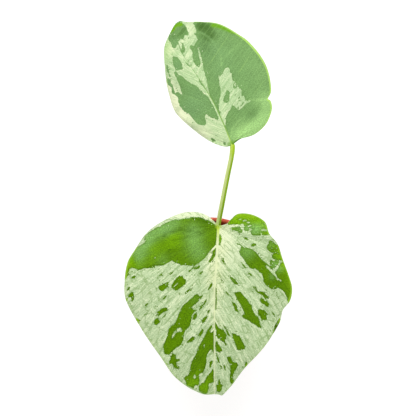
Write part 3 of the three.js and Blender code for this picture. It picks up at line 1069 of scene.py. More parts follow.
@dataclass(frozen=True)
class Blade:
    """A leaf blade in its own frame: X across it, Y along it from the stalk, Z out of its upper
    face. Both halves share the midrib. Its arch is the slope at the stalk, how much of it is
    lost a millimetre, the curl at the tip, and where the curl starts and ends."""

    name: str
    finish: BladeFinish
    joint: Point
    heading: float
    slope: float
    roll: float
    midrib: tuple[Flat, ...]
    length: float
    arch: tuple[float, float, float, float, float]
    lobe_share: float
    vein_spread: float
    swirl: float
    halves: tuple[Half, Half]
    rows: int = 280
    columns: int = 72
    row_crowding: float = 0.55
    column_crowding: float = 0.6
    thickness: float = 0.6
    rim_thickness: float = 0.3
    rim_from: float = 0.94
    rib_depth: float = 1.3
    rib_width: float = 1.25
    rib_taper: float = 0.8
    vein_reach: float = 0.62
    side_veins: int = 7
    quilt: float = 0.4
    vein_groove: float = 0.2
    finer_veins: int = 6
    finer_swell: float = 0.04
    midrib_groove: float = 0.4
    groove_width: float = 0.9
    swell_end: Flat = (0.75, 0.9)
    ruffle_end: Flat = (0.86, 0.97)
    groove_end: Flat = (0.8, 0.95)
    tip_turn: float = 12
    mark_reach: float = 9.0
    mark_steps: int = 5

    def midrib_at(self, along: Array) -> Array:
        """How far across the leaf the midrib lies, at distances along it."""
        line = np.array(self.midrib)
        return np.interp(along, line[:, 1], line[:, 0])

    def slope_at(self, along: Array) -> Array:
        """The midrib's slope in radians: it falls steadily and curls down before the tip."""
        start, fall, curl, curl_from, curl_to = self.arch
        return np.radians(start - fall * along - curl * smooth(curl_from, curl_to, along))

    def side_view(self, along: Array) -> tuple[Array, Array, Array]:
        """The midrib seen from the side: forward and up are the sums of small steps, each as
        long as the others and turned to the slope at its middle.

        Args:
            along: distances from the stalk, on the pressed leaf.

        Returns:
            How far forward and how high the midrib is there, and its slope.
        """
        step, behind, ahead = 0.25, -30, 180
        marks = np.arange(behind, ahead + step, step)
        slopes = self.slope_at(marks[:-1] + step / 2)
        forward = np.concatenate([[0], np.cumsum(np.cos(slopes))]) * step
        high = np.concatenate([[0], np.cumsum(np.sin(slopes))]) * step
        start = np.searchsorted(marks, 0)
        return (
            np.interp(along, marks, forward - forward[start]),
            np.interp(along, marks, high - high[start]),
            self.slope_at(along),
        )

    def pressed(self, half: Half, row: Array, column: Array) -> Array:
        """A point of the pressed leaf. Each row is a curve out to the margin: (1-c)^2 foot +
        2c(1-c) middle + c^2 edge, where the foot climbs the midrib, the edge walks the margin,
        and the middle lies out from the foot at an angle turned from the line between them.

        Args:
            half: which half.
            row: from the notch to the tip.
            column: from the midrib to the margin.

        Returns:
            Distances across and along the leaf.
        """
        climb = np.clip((row - self.lobe_share) / (1 - self.lobe_share), 0, 1)
        along = self.length * climb**self.vein_spread
        foot = np.stack([self.midrib_at(along), along], axis=-1)
        margin = even_spline(pairs(half.margin))
        walked = np.linspace(0, 1, len(margin))
        edge = np.stack([np.interp(row, walked, axis) for axis in margin.T], axis=-1)
        chord = edge - foot
        turn = half.lobe_turn + (self.tip_turn - half.lobe_turn) * smooth(0.05, 0.55, row)
        angle = np.arctan2(chord[..., 0] * half.sign, chord[..., 1])
        angle = angle + np.radians(turn) * (1 - row)
        way = np.stack([half.sign * np.sin(angle), np.cos(angle)], axis=-1)
        middle = foot + self.vein_reach * np.linalg.norm(chord, axis=-1, keepdims=True) * way
        share = column[..., None]
        return (1 - share) ** 2 * foot + 2 * share * (1 - share) * middle + share**2 * edge

    def vein(self, row: Array, column: Array) -> Array:
        """Which side vein a point lies on, as the row that the vein reaches at the margin. Near
        the midrib veins run closer along it than rows do: row + swirl * (1 - column)^2.6, less
        so on rows near the tip."""
        return row + self.swirl * (1 - smooth(0.3, 0.85, row)) * np.abs(1 - column) ** 2.6

    def relief(self, half: Half, row: Array, column: Array, flat: Array) -> Array:
        """Small relief: the blade swells between side veins as sin^2 of the vein's number,
        sinks in narrow grooves on them, on the midrib and in its creases, waves along the
        margin, and rolls down at it.

        Args:
            half: which half.
            row: from the notch to the tip.
            column: from the midrib to the margin.
            flat: the same points on the pressed leaf, with their distance from the midrib.

        Returns:
            Height above the smooth form.
        """
        vein = self.vein(row, column)
        wave = np.sin(np.pi * self.side_veins * vein)
        fade = (1 - smooth(*self.swell_end, row)) * 4 * column * (1 - column)
        swell = fade * (self.quilt * wave**2 - self.vein_groove * bell(wave, 0.16))
        turns = 2 * np.pi * self.finer_veins * self.side_veins * vein
        finer = self.finer_swell * fade * np.cos(turns)
        height, count, phase = half.ruffle
        ends = smooth(0, 0.08, row) * (1 - smooth(*self.ruffle_end, row))
        ruffle = height * column**4 * np.sin(2 * np.pi * (count * row + phase)) * ends
        depth, start, end = half.roll
        width = 0.25 * (end - start)
        span = smooth(start, start + width, row) * (1 - smooth(end - width, end, row))
        rolled = depth * span * np.maximum(0, (column - 0.8) / 0.2) ** 2
        groove = self.midrib_groove * bell(flat[..., 2], self.groove_width)
        groove = groove * (1 - smooth(*self.groove_end, row))
        result = swell + finer + ruffle - rolled - groove
        for crease in half.creases:
            away = self.away(half, flat[..., :2].reshape(-1, 2), crease.chain)[0]
            result = result - crease.depth * bell(away, crease.width).reshape(row.shape)
        return result

    def bent(self, half: Half, flat: Array, relief: Array) -> Array:
        """Bends the pressed leaf: across, each half leaves the midrib at its lift angle and
        curves down by a steady bend, and then the whole follows the side view.

        Args:
            half: which half.
            flat: points of the pressed leaf.
            relief: height above it.

        Returns:
            Points in the leaf's own frame.
        """
        offset = self.midrib_at(flat[..., 1])
        start = math.radians(half.lift)
        end = start - half.bend * np.abs(flat[..., 0] - offset)
        out = (math.sin(start) - np.sin(end)) / half.bend
        rise = (np.cos(end) - math.cos(start)) / half.bend + relief
        forward, high, slope = self.side_view(flat[..., 1])
        return np.stack(
            [
                offset + half.sign * out,
                forward - rise * np.sin(slope),
                high + rise * np.cos(slope),
            ],
            axis=-1,
        )

    def placed(self, points: Array) -> Array:
        """Turns points of the leaf's own frame by roll, slope and heading, and moves them to
        the joint."""
        turn = turn_about(2, self.heading) @ turn_about(0, self.slope) @ turn_about(1, -self.roll)
        return points @ turn.T + np.array(self.joint)

    def away(self, half: Half, flat: Array, chain: tuple[int, ...]) -> tuple[Array, Array]:
        """How far points of the pressed leaf lie from a chain of straight steps in rows and
        columns, and whether they lie inside it, by counting the steps that a line to the right
        of each point crosses.

        Args:
            half: the half that the chain belongs to.
            flat: points of the pressed leaf, one to a row.
            chain: row and column in turn, in thousandths and hundredths.

        Returns:
            Distances, no larger than a limit, and whether each point is inside.
        """
        reach = self.mark_reach
        corners = pairs(chain) / MARK_UNITS
        last = len(corners) - 1
        place = np.linspace(0, last, self.mark_steps * last + 1)
        walked = [np.interp(place, np.arange(last + 1), axis) for axis in corners.T]
        ring = self.pressed(half, *walked)
        near = ((flat > ring.min(0) - reach) & (flat < ring.max(0) + reach)).all(axis=1)
        distance, within = np.full(len(flat), reach), np.zeros(len(flat), bool)
        start, step = ring[:-1], np.diff(ring, axis=0)
        offset = flat[near][:, None] - start
        share = np.clip((offset * step).sum(-1) / np.maximum((step**2).sum(-1), 1e-9), 0, 1)
        distance[near] = np.linalg.norm(offset - share[..., None] * step, axis=-1).min(axis=1)
        crosses = (offset[..., 1] >= 0) != (offset[..., 1] >= step[:, 1])
        side = step[:, 0] * offset[..., 1] - step[:, 1] * offset[..., 0]
        hit = crosses & ((side > 0) == (step[:, 1] > 0))
        within[near] = hit.sum(axis=1) % 2 == 1
        return np.minimum(distance, reach), within

    def inside(self, half: Half, flat: Array, outline: tuple[int, ...]) -> Array:
        """How far inside a closed outline points lie, below nothing outside it."""
        distance, within = self.away(half, flat, outline + outline[:2])
        return np.where(within, distance, -distance)

    def depth(self, half: Half, flat: Array) -> Array:
        """How far points lie inside the green: below nothing where the leaf is pale."""
        depth = np.full(len(flat), self.mark_reach if half.leafy else -self.mark_reach)
        for outline in half.green:
            depth = np.maximum(depth, self.inside(half, flat, outline))
        for outline in half.pale:
            depth = np.minimum(depth, -self.inside(half, flat, outline))
        for outline in half.islands:
            depth = np.maximum(depth, self.inside(half, flat, outline))
        return depth

    def marks(self, half: Half, flat: Array) -> Array:
        """How far inside the green each point is, how far its tone is shifted, partly by painted
        light and shade, and how much painted sheen and highlight it has.
        A tint fades as a bell and keeps to the green or to the pale, whichever it starts in.

        Args:
            half: which half.
            flat: its points on the pressed leaf, one to a row.

        Returns:
            Three numbers a point.
        """
        depth = self.depth(half, flat)
        shifts = []
        for tints in (half.tone, half.sheen_and_highlight):
            places = np.array([(tint.row, tint.column) for tint in tints])
            middles = self.pressed(half, *places.T)
            sides = np.sign(self.depth(half, middles))
            total = np.zeros(len(flat))
            for tint, middle, side in zip(tints, middles, sides):
                near = bell(np.linalg.norm(flat - middle, axis=1), tint.reach)
                total += tint.amount * near * smooth(-1.2, 0.6, depth * side)
            shifts.append(total)
        # Crease shadows are painted shade along the folds; their glow pushes the sheen mark below
        # nothing, towards the fresh edge colour.
        for crease in half.creases:
            near = bell(self.away(half, flat, crease.chain)[0], crease.width)
            shifts[0] -= crease.shadow * near
            shifts[1] -= crease.glow * near
        return np.stack([depth, *shifts], axis=1)

    def surface(self) -> Surface:
        """The blade as a closed shell: an upper and a lower sheet on either side of the middle
        one, joined by a strip round the margin. Rows that meet in the joint or the tip share
        one point there.

        Returns:
            The surface in the object's frame, with the notes "flow", "pressed" and "marks".
        """
        row = crowded(np.linspace(0, 1, self.rows + 1), self.row_crowding)[:, None]
        column = crowded(np.linspace(0, 1, self.columns + 1), self.column_crowding)[None]
        row, column = np.broadcast_arrays(row, column)
        sheets, flats, marks = [], [], []
        for half in self.halves:
            flat = self.pressed(half, row, column)
            aside = np.abs(flat[..., 0] - self.midrib_at(flat[..., 1]))
            flat = np.concatenate([flat, aside[..., None]], axis=-1)
            sheets.append(self.bent(half, flat, self.relief(half, row, column, flat)))
            flats.append(flat)
            marks.append(self.marks(half, flat[..., :2].reshape(-1, 2)))
        numbers = np.arange(2 * row.size).reshape(2, *row.shape)
        joint, tip = numbers[0, 0, 0], numbers[0, -1, 0]
        numbers[1, :, 0] = numbers[0, :, 0]
        numbers[:, row[:, 0] <= self.lobe_share, 0] = joint
        numbers[:, 0] = joint
        numbers[:, -1] = tip
        points = self.placed(np.stack(sheets)).reshape(-1, 3)
        count = len(points)
        grids, strips = [], []
        for half, grid in zip(self.halves, numbers):
            edge = grid[:, -1]
            strip = np.stack([edge[:-1], edge[:-1] + count, edge[1:] + count, edge[1:]], axis=1)
            grids.append(quads(grid)[:, :: half.sign])
            strips.append(strip[:, :: half.sign])
        faces = np.concatenate(grids)
        normals = normals_of(points, faces)
        flat = np.stack(flats).reshape(-1, 3)
        both = np.broadcast_to(column, (2, *row.shape)).reshape(-1, 1)
        inner = 1 - smooth(self.rim_from, 1, both)
        upper = (self.rim_thickness + (self.thickness - self.rim_thickness) * inner) / 2
        along = flat[:, 1]
        taper = smooth(-1, 3, along) * (1 - self.rib_taper * smooth(0, self.length, along))
        rib = self.rib_depth * taper * bell(flat[:, 2], self.rib_width)
        flow = np.stack([self.vein(row, column), column, 0 * row], axis=-1)
        flow = np.stack([flow, flow]).reshape(-1, 3)
        marked = np.concatenate(marks)
        every = np.concatenate([faces, faces[:, ::-1] + count, *strips])
        return compact(Surface(
            np.vstack([points + normals * upper, points - normals * (upper + rib[:, None])]),
            without_flat(every),
            {
                "flow": np.vstack([flow, flow + np.array([0, 0, 1])]),
                "pressed": np.vstack([flat, flat]),
                "marks": np.vstack([marked, marked]),
            },
        ))

    def build(self) -> None:
        """Builds the blade in its finish."""
        node, skin = f"blade_{self.name}", self.finish.material(f"{self.name}_skin")
        piece(f"{node}_leaf", self.surface(), skin, Slot.BLADE, node)


# In each half the tone tints paint lit bands lighter and shaded hollows darker, as well as the
# leaf's own tones; the second list of tints paints sheen and highlight; crease shadows are painted
# shade along the folds.
LARGE_LEFT = Half(
    sign=1,
    margin=(
        0, 0, 4.2, -4.3, 10.5, -9.6, 20.6, -12.3, 34.1, -9.2, 56.1, 2.8, 69.2, 20.6, 73.8, 30,
        75.6, 44, 74.2, 60, 60.5, 84.4, 45.3, 104, 35.3, 119, 24.5, 130, 17.5, 135, 12.5, 139.6,
        7.5, 147, 3, 156,
    ),
    lift=6,
    bend=0.0075,
    lobe_turn=-16,
    ruffle=(2.2, 3.5, 0.6),
    roll=(5, 0.02, 0.4),
    green=(
        (
            96, 10, 75, 15, 70, 20, 72, 30, 82, 40, 94, 50, 97, 60, 114, 65, 130, 69, 143, 67,
            152, 74, 168, 76, 180, 82, 209, 86, 233, 88, 257, 93, 275, 97, 296, 93, 305, 89,
            314, 86, 320, 90, 322, 97, 335, 110, 413, 110, 415, 90, 427, 85, 441, 80, 453, 70,
            464, 65, 475, 60, 480, 54, 494, 48, 500, 41, 518, 37, 539, 33, 557, 28, 571, 24,
            580, 20, 579, 11, 571, 9, 566, 5, 553, 2, 528, 1, 400, 1, 300, 2, 200, 4, 130, 7,
        ),
        (
            413, 92, 420, 95, 424, 93, 430, 95, 436, 93, 433, 97, 441, 96, 444, 100, 440, 110,
            410, 110,
        ),
        (451, 88, 456, 83, 463, 82, 464, 85, 457, 88),
        (480, 92, 482, 96, 487, 93, 486, 90),
        (514, 87, 505, 89, 503, 94, 508, 95, 514, 93, 521, 92, 528, 93, 530, 91, 525, 89, 520, 88),
        (510, 97, 517, 98, 512, 105, 508, 105),
        (529, 51, 523, 52, 522, 54, 527, 53),
        (545, 41, 538, 44, 540, 46, 547, 44),
        (568, 48, 560, 50, 557, 55, 553, 59, 563, 59, 572, 58, 578, 55, 577, 51),
        (573, 76, 571, 80, 575, 80, 577, 76),
        (574, 36, 580, 43, 587, 47, 596, 46, 607, 44, 613, 41, 616, 31, 603, 32, 582, 34),
        (582, 24, 589, 23, 597, 20, 601, 17, 600, 16, 594, 17, 587, 20, 581, 23),
        (581, 28, 584, 25, 592, 25, 589, 27),
        (571, 1, 575, 4, 584, 5, 590, 3, 597, 5, 605, 7, 614, 7, 612, 4, 600, 2, 590, 1, 580, 0),
        (618, 17, 622, 14, 626, 15, 622, 18),
        (597, 55, 599, 60, 602, 58, 602, 54),
        (598, 71, 600, 68, 606, 67, 603, 71),
        (592, 86, 596, 84, 599, 82, 595, 87),
        (585, 98, 590, 96, 598, 95, 600, 99, 596, 105, 584, 105),
        (626, 40, 628, 43, 630, 41),
        (639, 35, 642, 28, 648, 25, 646, 30, 644, 35),
        (
            641, 57, 632, 59, 626, 60, 621, 64, 621, 70, 624, 74, 631, 71, 633, 65, 638, 61,
        ),
        (645, 63, 647, 69, 650, 66, 648, 63),
        (644, 73, 634, 74, 632, 77, 636, 79, 641, 81, 648, 79, 650, 76, 649, 73),
        (
            698, 16, 689, 20, 675, 24, 673, 30, 669, 40, 673, 45, 682, 50, 691, 54, 691, 60,
            689, 68, 698, 71, 705, 80, 714, 87, 723, 91, 734, 90, 742, 86, 743, 77, 750, 69,
            755, 61, 752, 56, 743, 52, 736, 48, 736, 39, 728, 36, 720, 33, 716, 27, 706, 30,
            697, 33, 696, 30, 698, 25, 700, 20,
        ),
        (688, 4, 692, 7, 697, 9, 700, 8, 701, 5, 695, 4),
        (719, 12, 724, 16, 721, 20, 724, 23, 728, 19, 731, 16, 726, 14, 722, 11),
        (725, 27, 726, 32, 733, 34, 737, 30, 735, 26),
        (752, 9, 755, 8, 759, 9, 755, 11),
        (764, 11, 761, 16, 760, 20, 765, 21, 769, 18, 769, 14),
        (777, 36, 770, 40, 768, 46, 765, 49, 770, 50, 775, 46, 779, 43, 781, 37),
        (782, 21, 783, 31, 788, 28, 790, 20),
        (
            750, 79, 753, 84, 758, 88, 757, 92, 764, 93, 770, 89, 777, 88, 787, 88, 797, 86,
            801, 82, 797, 80, 789, 83, 783, 84, 779, 81, 782, 77, 784, 73, 779, 74, 776, 77,
            769, 78, 760, 77,
        ),
        (
            798, 5, 800, 11, 804, 20, 809, 30, 813, 38, 819, 42, 820, 50, 822, 57, 828, 61,
            835, 66, 838, 72, 837, 80, 834, 86, 838, 89, 848, 91, 853, 95, 858, 97, 866, 95,
            874, 92, 880, 90, 878, 85, 877, 80, 882, 76, 887, 73, 886, 68, 881, 63, 875, 58,
            868, 55, 869, 50, 874, 43, 877, 40, 873, 36, 873, 31, 866, 27, 858, 23, 850, 20,
            848, 15, 851, 10, 855, 6, 862, 5, 868, 2, 870, 0, 817, 0, 816, 5, 812, 8, 808, 8,
            803, 5,
        ),
        (881, 5, 875, 11, 878, 15, 884, 20, 888, 17, 889, 12, 886, 8),
        (
            898, 8, 896, 30, 896, 40, 900, 50, 894, 60, 891, 70, 895, 79, 905, 86, 915, 86,
            925, 80, 928, 60, 926, 50, 923, 43, 916, 36, 918, 25, 926, 10, 921, 3, 905, 4,
        ),
    ),
    pale=(
        (430, 44, 436, 45, 441, 43, 436, 42),
        (430, 60, 434, 60, 438, 58, 434, 58),
        (474, 44, 482, 43, 496, 40, 485, 41),
        (589, 39, 590, 42, 592, 45, 595, 44, 593, 41, 592, 39),
        (
            718, 52, 709, 56, 712, 59, 709, 62, 711, 66, 715, 70, 721, 70, 720, 66, 717, 62,
            719, 58, 725, 55, 726, 52,
        ),
        (820, 22, 822, 25, 828, 25, 826, 21),
        (835, 55, 834, 57, 837, 57),
        (855, 63, 857, 68, 859, 71, 866, 69, 868, 64, 862, 61),
    ),
    tone=(
        Tint(0.1, 0.25, 7, -0.4), Tint(0.09, 0.45, 6, -0.4), Tint(0.12, 0.6, 5, -0.3),
        Tint(0.31, 0.45, 6, 0.2), Tint(0.39, 0.38, 7, 0.3), Tint(0.34, 0.5, 6, 0.3),
        Tint(0.37, 0.65, 6, 0.35), Tint(0.42, 0.62, 7, 0.35), Tint(0.42, 0.8, 7, 0.4),
        Tint(0.38, 0.97, 5, 0.8), Tint(0.43, 0.97, 5, 0.5), Tint(0.46, 0.3, 9, 0.15),
        Tint(0.35, 0.05, 6, 0.3), Tint(0.2, 0.08, 6, 0.15),
        Tint(0.92, 0.5, 8, 0.7), Tint(0.86, 0.9, 8, 0.5), Tint(0.87, 0.58, 7, 0.4),
        Tint(0.83, 0.42, 6, -0.35), Tint(0.73, 0.6, 5, 0.2), Tint(0.4, 0.5, 5, 0.25),
        Tint(0.64, 0.65, 6, -0.2), Tint(0.95, 0.3, 5, 0.4), Tint(0.97, 0.9, 6, 0.4),
    ),
    sheen_and_highlight=(
        Tint(0.2, 0.72, 6, 0.4), Tint(0.24, 0.8, 8, 0.55), Tint(0.28, 0.88, 7, 0.5),
        Tint(0.33, 0.85, 8, 0.55), Tint(0.37, 0.88, 7, 0.4), Tint(0.26, 0.65, 6, 0.2),
        Tint(0.41, 0.8, 6, 0.25), Tint(0.4, 0.94, 4, -0.4), Tint(0.47, 0.5, 8, 0.3),
        Tint(0.35, 0.2, 8, 0.25), Tint(0.46, 0.22, 9, 0.35), Tint(0.55, 0.16, 9, 0.4),
        Tint(0.24, 0.35, 6, 0.25), Tint(0.69, 0.25, 7, 0.2), Tint(0.06, 0.7, 14, 0.6),
        Tint(0.14, 0.9, 12, 0.65),
    ),
    creases=(
        Crease((310, 30, 285, 39, 268, 44, 270, 50, 284, 57, 300, 62), 1.6, 0.7, 0.5),
        Crease((480, 29, 466, 36, 455, 42, 452, 50), 1.3, 0.5, 0.4),
        Crease((470, 44, 476, 56, 462, 66), 1.3, 0.4, 0.3),
        Crease((395, 16, 355, 20, 300, 28, 250, 36, 218, 44), 1.3, 0.4, 0.3),
        Crease((300, 62, 315, 72, 330, 84), 1.4, 0.5, 0.35),
        Crease((400, 62, 392, 74, 392, 88), 1.3, 0.4, 0.25),
        Crease((440, 12, 425, 20, 402, 30, 372, 42), 1.2, 0.4, 0.3),
        Crease((620, 100, 700, 100, 780, 100, 840, 100, 900, 99, 960, 96), 2.0, shadow=-0.25),
    ),
)

LARGE_RIGHT = Half(
    sign=-1,
    margin=(
        0, 0, -5.9, -0.7, -10.3, -5.6, -16.1, -10.4, -26.5, -9.9, -36.4, -3.9, -39.8, 6,
        -46.8, 14.2, -50.9, 25.6, -55.6, 38.2, -58.7, 49.1, -57, 59.2, -51.2, 67, -48.7, 77,
        -41.4, 87.9, -30.8, 101.4, -20.6, 114.3, -11.9, 125.8, -8, 130.3, -3.4, 136.2, -0.4, 146,
        3, 156,
    ),
    lift=6,
    bend=0.0076,
    lobe_turn=-34,
    ruffle=(2.4, 4.5, 0.2),
    roll=(2.5, 0.04, 0.24),
    green=(
        (
            111, 30, 95, 35, 75, 45, 60, 60, 45, 80, 40, 110, 240, 110, 237, 90, 234, 80,
            235, 64, 228, 61, 211, 62, 204, 66, 199, 70, 197, 64, 199, 57, 207, 56, 207, 50,
            197, 48, 186, 50, 177, 53, 166, 56, 153, 58, 145, 57, 150, 50, 139, 49, 126, 45,
            116, 40,
        ),
        (
            179, 25, 171, 31, 170, 38, 173, 43, 190, 43, 205, 45, 219, 45, 226, 42, 233, 39,
            228, 36, 218, 36, 217, 30, 217, 25, 200, 24,
        ),
        (304, 36, 290, 38, 278, 42, 280, 44, 295, 44, 308, 43, 314, 40, 308, 38),
        (360, 43, 345, 45, 330, 47, 315, 51, 309, 54, 318, 55, 330, 52, 342, 49, 355, 45),
        (
            309, 73, 298, 76, 285, 80, 270, 86, 261, 91, 267, 93, 277, 94, 285, 96, 290, 110,
            330, 110, 318, 95, 314, 91, 317, 87, 323, 82, 320, 77, 314, 74,
        ),
        (
            355, 76, 341, 79, 329, 83, 321, 88, 318, 93, 314, 110, 342, 110, 343, 96, 347, 90,
            352, 84, 357, 80,
        ),
        (
            438, 62, 425, 64, 408, 65, 392, 67, 382, 70, 377, 74, 370, 79, 357, 84, 352, 88,
            362, 86, 378, 83, 390, 79, 400, 76, 414, 72, 428, 69, 440, 65, 446, 62,
        ),
        (
            345, 110, 350, 97, 360, 92, 374, 87, 390, 83, 405, 79, 420, 75, 436, 71, 446, 70,
            455, 71, 462, 74, 455, 79, 459, 81, 466, 77, 471, 73, 465, 69, 467, 65, 463, 60,
            466, 57, 458, 55, 455, 53, 447, 56, 443, 60, 440, 60, 440, 55, 443, 50, 437, 47,
            430, 46, 418, 46, 408, 44, 412, 40, 422, 36, 434, 33, 446, 30, 452, 27, 465, 24,
            480, 24, 500, 23, 510, 25, 512, 29, 518, 31, 524, 35, 525, 39, 518, 42, 510, 44,
            503, 49, 500, 53, 508, 55, 516, 57, 523, 60, 523, 66, 519, 69, 512, 73, 503, 75,
            495, 76, 490, 79, 487, 83, 486, 88, 492, 93, 500, 100, 505, 110,
        ),
        (440, 26, 450, 24, 462, 20, 470, 18, 466, 21, 455, 25),
        (511, 78, 513, 82, 513, 86, 517, 84, 516, 79),
        (570, 97, 580, 96, 600, 95, 612, 97, 622, 99, 622, 110, 570, 110),
        (535, 27, 540, 30, 545, 33, 540, 34, 537, 30),
        (552, 36, 546, 39, 541, 42, 543, 43, 550, 44, 556, 45, 552, 41, 554, 38),
        (
            574, 48, 567, 50, 571, 53, 573, 55, 566, 57, 559, 60, 553, 62, 555, 66, 549, 71,
            552, 72, 560, 70, 567, 66, 567, 62, 572, 60, 577, 56, 577, 51,
        ),
        (589, 60, 579, 61, 577, 66, 573, 70, 573, 74, 580, 74, 585, 71, 588, 67, 594, 63),
        (581, 81, 579, 86, 582, 88, 584, 84),
        (
            619, 63, 611, 67, 604, 70, 600, 71, 602, 77, 609, 77, 616, 80, 624, 77, 632, 73,
            628, 70, 631, 66, 625, 64,
        ),
        (627, 17, 621, 21, 618, 25, 620, 31, 627, 27, 633, 23, 630, 18),
        (
            657, 27, 646, 31, 635, 35, 634, 40, 632, 45, 634, 49, 631, 54, 640, 56, 641, 62,
            638, 70, 645, 74, 648, 79, 656, 76, 661, 71, 669, 64, 674, 57, 678, 55, 683, 52,
            687, 48, 680, 48, 671, 49, 667, 45, 665, 38, 663, 32,
        ),
        (681, 17, 677, 22, 674, 27, 677, 27, 683, 19),
        (686, 28, 680, 32, 680, 36, 687, 37, 690, 41, 694, 38, 698, 34, 691, 31),
        (710, 1, 716, 3, 735, 4, 750, 4, 764, 3, 766, 0, 712, 0),
        (773, 21, 767, 26, 768, 31, 768, 38, 773, 39, 777, 33, 772, 28, 774, 22),
        (
            757, 41, 750, 46, 746, 51, 739, 55, 738, 64, 740, 68, 738, 73, 746, 75, 753, 72,
            760, 69, 768, 67, 775, 62, 770, 56, 768, 50, 763, 43,
        ),
        (764, 93, 766, 98, 774, 100, 782, 99, 778, 95, 770, 92),
        (
            795, 0, 796, 5, 798, 11, 791, 15, 785, 20, 783, 25, 782, 31, 792, 31, 798, 31,
            802, 37, 804, 34, 805, 29, 811, 24, 815, 19, 821, 12, 817, 7, 811, 5, 806, 0,
        ),
        (
            838, 6, 832, 10, 835, 15, 831, 20, 828, 25, 829, 29, 838, 25, 846, 20, 851, 14,
            857, 8, 850, 5,
        ),
        (861, 8, 862, 14, 864, 17, 864, 21, 865, 27, 871, 22, 868, 18, 870, 13),
        (867, 32, 864, 38, 866, 40, 871, 38, 871, 32),
        (
            820, 48, 813, 54, 815, 62, 812, 69, 807, 71, 799, 75, 803, 80, 817, 81, 826, 82,
            836, 81, 843, 84, 846, 88, 841, 93, 842, 97, 851, 97, 856, 92, 858, 87, 853, 82,
            847, 76, 841, 72, 834, 69, 828, 62, 828, 52, 824, 48,
        ),
        (851, 44, 849, 49, 853, 53, 857, 56, 857, 51, 855, 46),
        (
            925, 28, 912, 40, 896, 45, 898, 52, 899, 60, 893, 70, 903, 77, 915, 74, 925, 60,
            932, 45, 938, 33,
        ),
        (594, 8, 598, 6, 606, 8, 606, 10, 600, 9),
        (661, 6, 664, 8, 662, 10, 668, 12, 669, 8, 665, 6),
        (490, 2, 515, 4, 550, 3, 552, 2, 520, 1),
    ),
    pale=(
        (107, 67, 106, 72, 114, 76, 121, 73, 122, 69, 116, 66),
        (126, 66, 125, 73, 136, 77, 146, 73, 146, 68, 138, 64),
        (151, 67, 150, 72, 157, 75, 163, 72, 164, 68, 159, 66),
        (172, 61, 170, 66, 178, 69, 186, 65, 188, 61, 181, 59),
        (209, 88, 213, 94, 219, 99, 229, 99, 224, 93, 219, 87, 214, 84),
        (190, 95, 193, 100, 199, 99, 196, 95),
        (302, 81, 299, 84, 302, 86, 306, 84),
        (309, 83, 306, 89, 309, 90, 312, 86),
        (298, 92, 296, 95, 300, 95),
    ),
    tone=(
        Tint(0.08, 0.85, 9, 0.7), Tint(0.13, 0.93, 8, 0.6), Tint(0.18, 0.96, 7, 0.6),
        Tint(0.07, 0.6, 7, 0.5), Tint(0.23, 0.97, 5, 0.7), Tint(0.34, 0.98, 5, 0.7),
        Tint(0.31, 0.95, 5, 0.7), Tint(0.37, 0.95, 6, 0.6), Tint(0.42, 0.97, 6, 0.5),
        Tint(0.45, 0.8, 7, -0.3), Tint(0.47, 0.97, 5, 0.3), Tint(0.5, 0.65, 5, -0.3),
        Tint(0.29, 0.87, 5, 0.2), Tint(0.1, 0.7, 7, 0.5), Tint(0.6, 1.0, 6, -0.9),
        Tint(0.51, 0.37, 5, -0.3), Tint(0.52, 0.025, 4, 1.0), Tint(0.65, 0.55, 7, -0.1),
        Tint(0.92, 0.55, 6, 0.4), Tint(0.97, 0.9, 6, 0.4),
        Tint(0.2, 0.35, 5, -0.5),
    ),
    sheen_and_highlight=(
        Tint(0.2, 0.72, 6, 0.6), Tint(0.2, 0.88, 5, 0.5), Tint(0.29, 0.85, 5, 0.2),
        Tint(0.365, 0.92, 4, 1.0), Tint(0.49, 0.1, 8, 0.5), Tint(0.107, 0.8, 5, 0.2),
        Tint(0.57, 0.17, 8, 0.4), Tint(0.51, 0.22, 8, 0.25), Tint(0.04, 0.3, 7, 0.3),
        Tint(0.09, 0.97, 6, -0.5), Tint(0.14, 1.0, 5, -0.5), Tint(0.35, 1.0, 5, -0.4),
        Tint(0.43, 1.0, 5, -0.3), Tint(0.21, 0.33, 6, 0.3), Tint(0.13, 0.42, 5, 0.3),
        Tint(0.19, 0.55, 5, 0.4), Tint(0.45, 0.33, 8, 0.25), Tint(0.48, 0.3, 7, 0.25),
        Tint(0.48, 0.65, 3, 0.4), Tint(0.4, 0.72, 6, 0.3), Tint(0.38, 0.86, 6, 0.3),
        Tint(0.29, 0.84, 5, 0.2), Tint(0.62, 0.23, 5, 0.3),
    ),
    creases=(
        Crease((330, 20, 300, 40, 275, 60, 262, 80), 1.6, 0.5, 0.1),
        Crease((480, 30, 462, 50, 452, 66), 1.4, 0.4, 0.12),
    ),
)

LARGE_BLADE = Blade(
    name="large",
    finish=LARGE_FINISH,
    joint=(5.5, 2.1, 151.3),
    heading=180,
    slope=-30,
    roll=0,
    midrib=((0, -20), (0, 0), (1.5, 27), (3, 49), (3.2, 80), (3, 129), (3, 160)),
    length=156,
    arch=(10, 28 / 120, 95, 130, 146),
    lobe_share=0.4,
    vein_spread=1.8,
    swirl=0.04,
    halves=(LARGE_LEFT, LARGE_RIGHT),
)

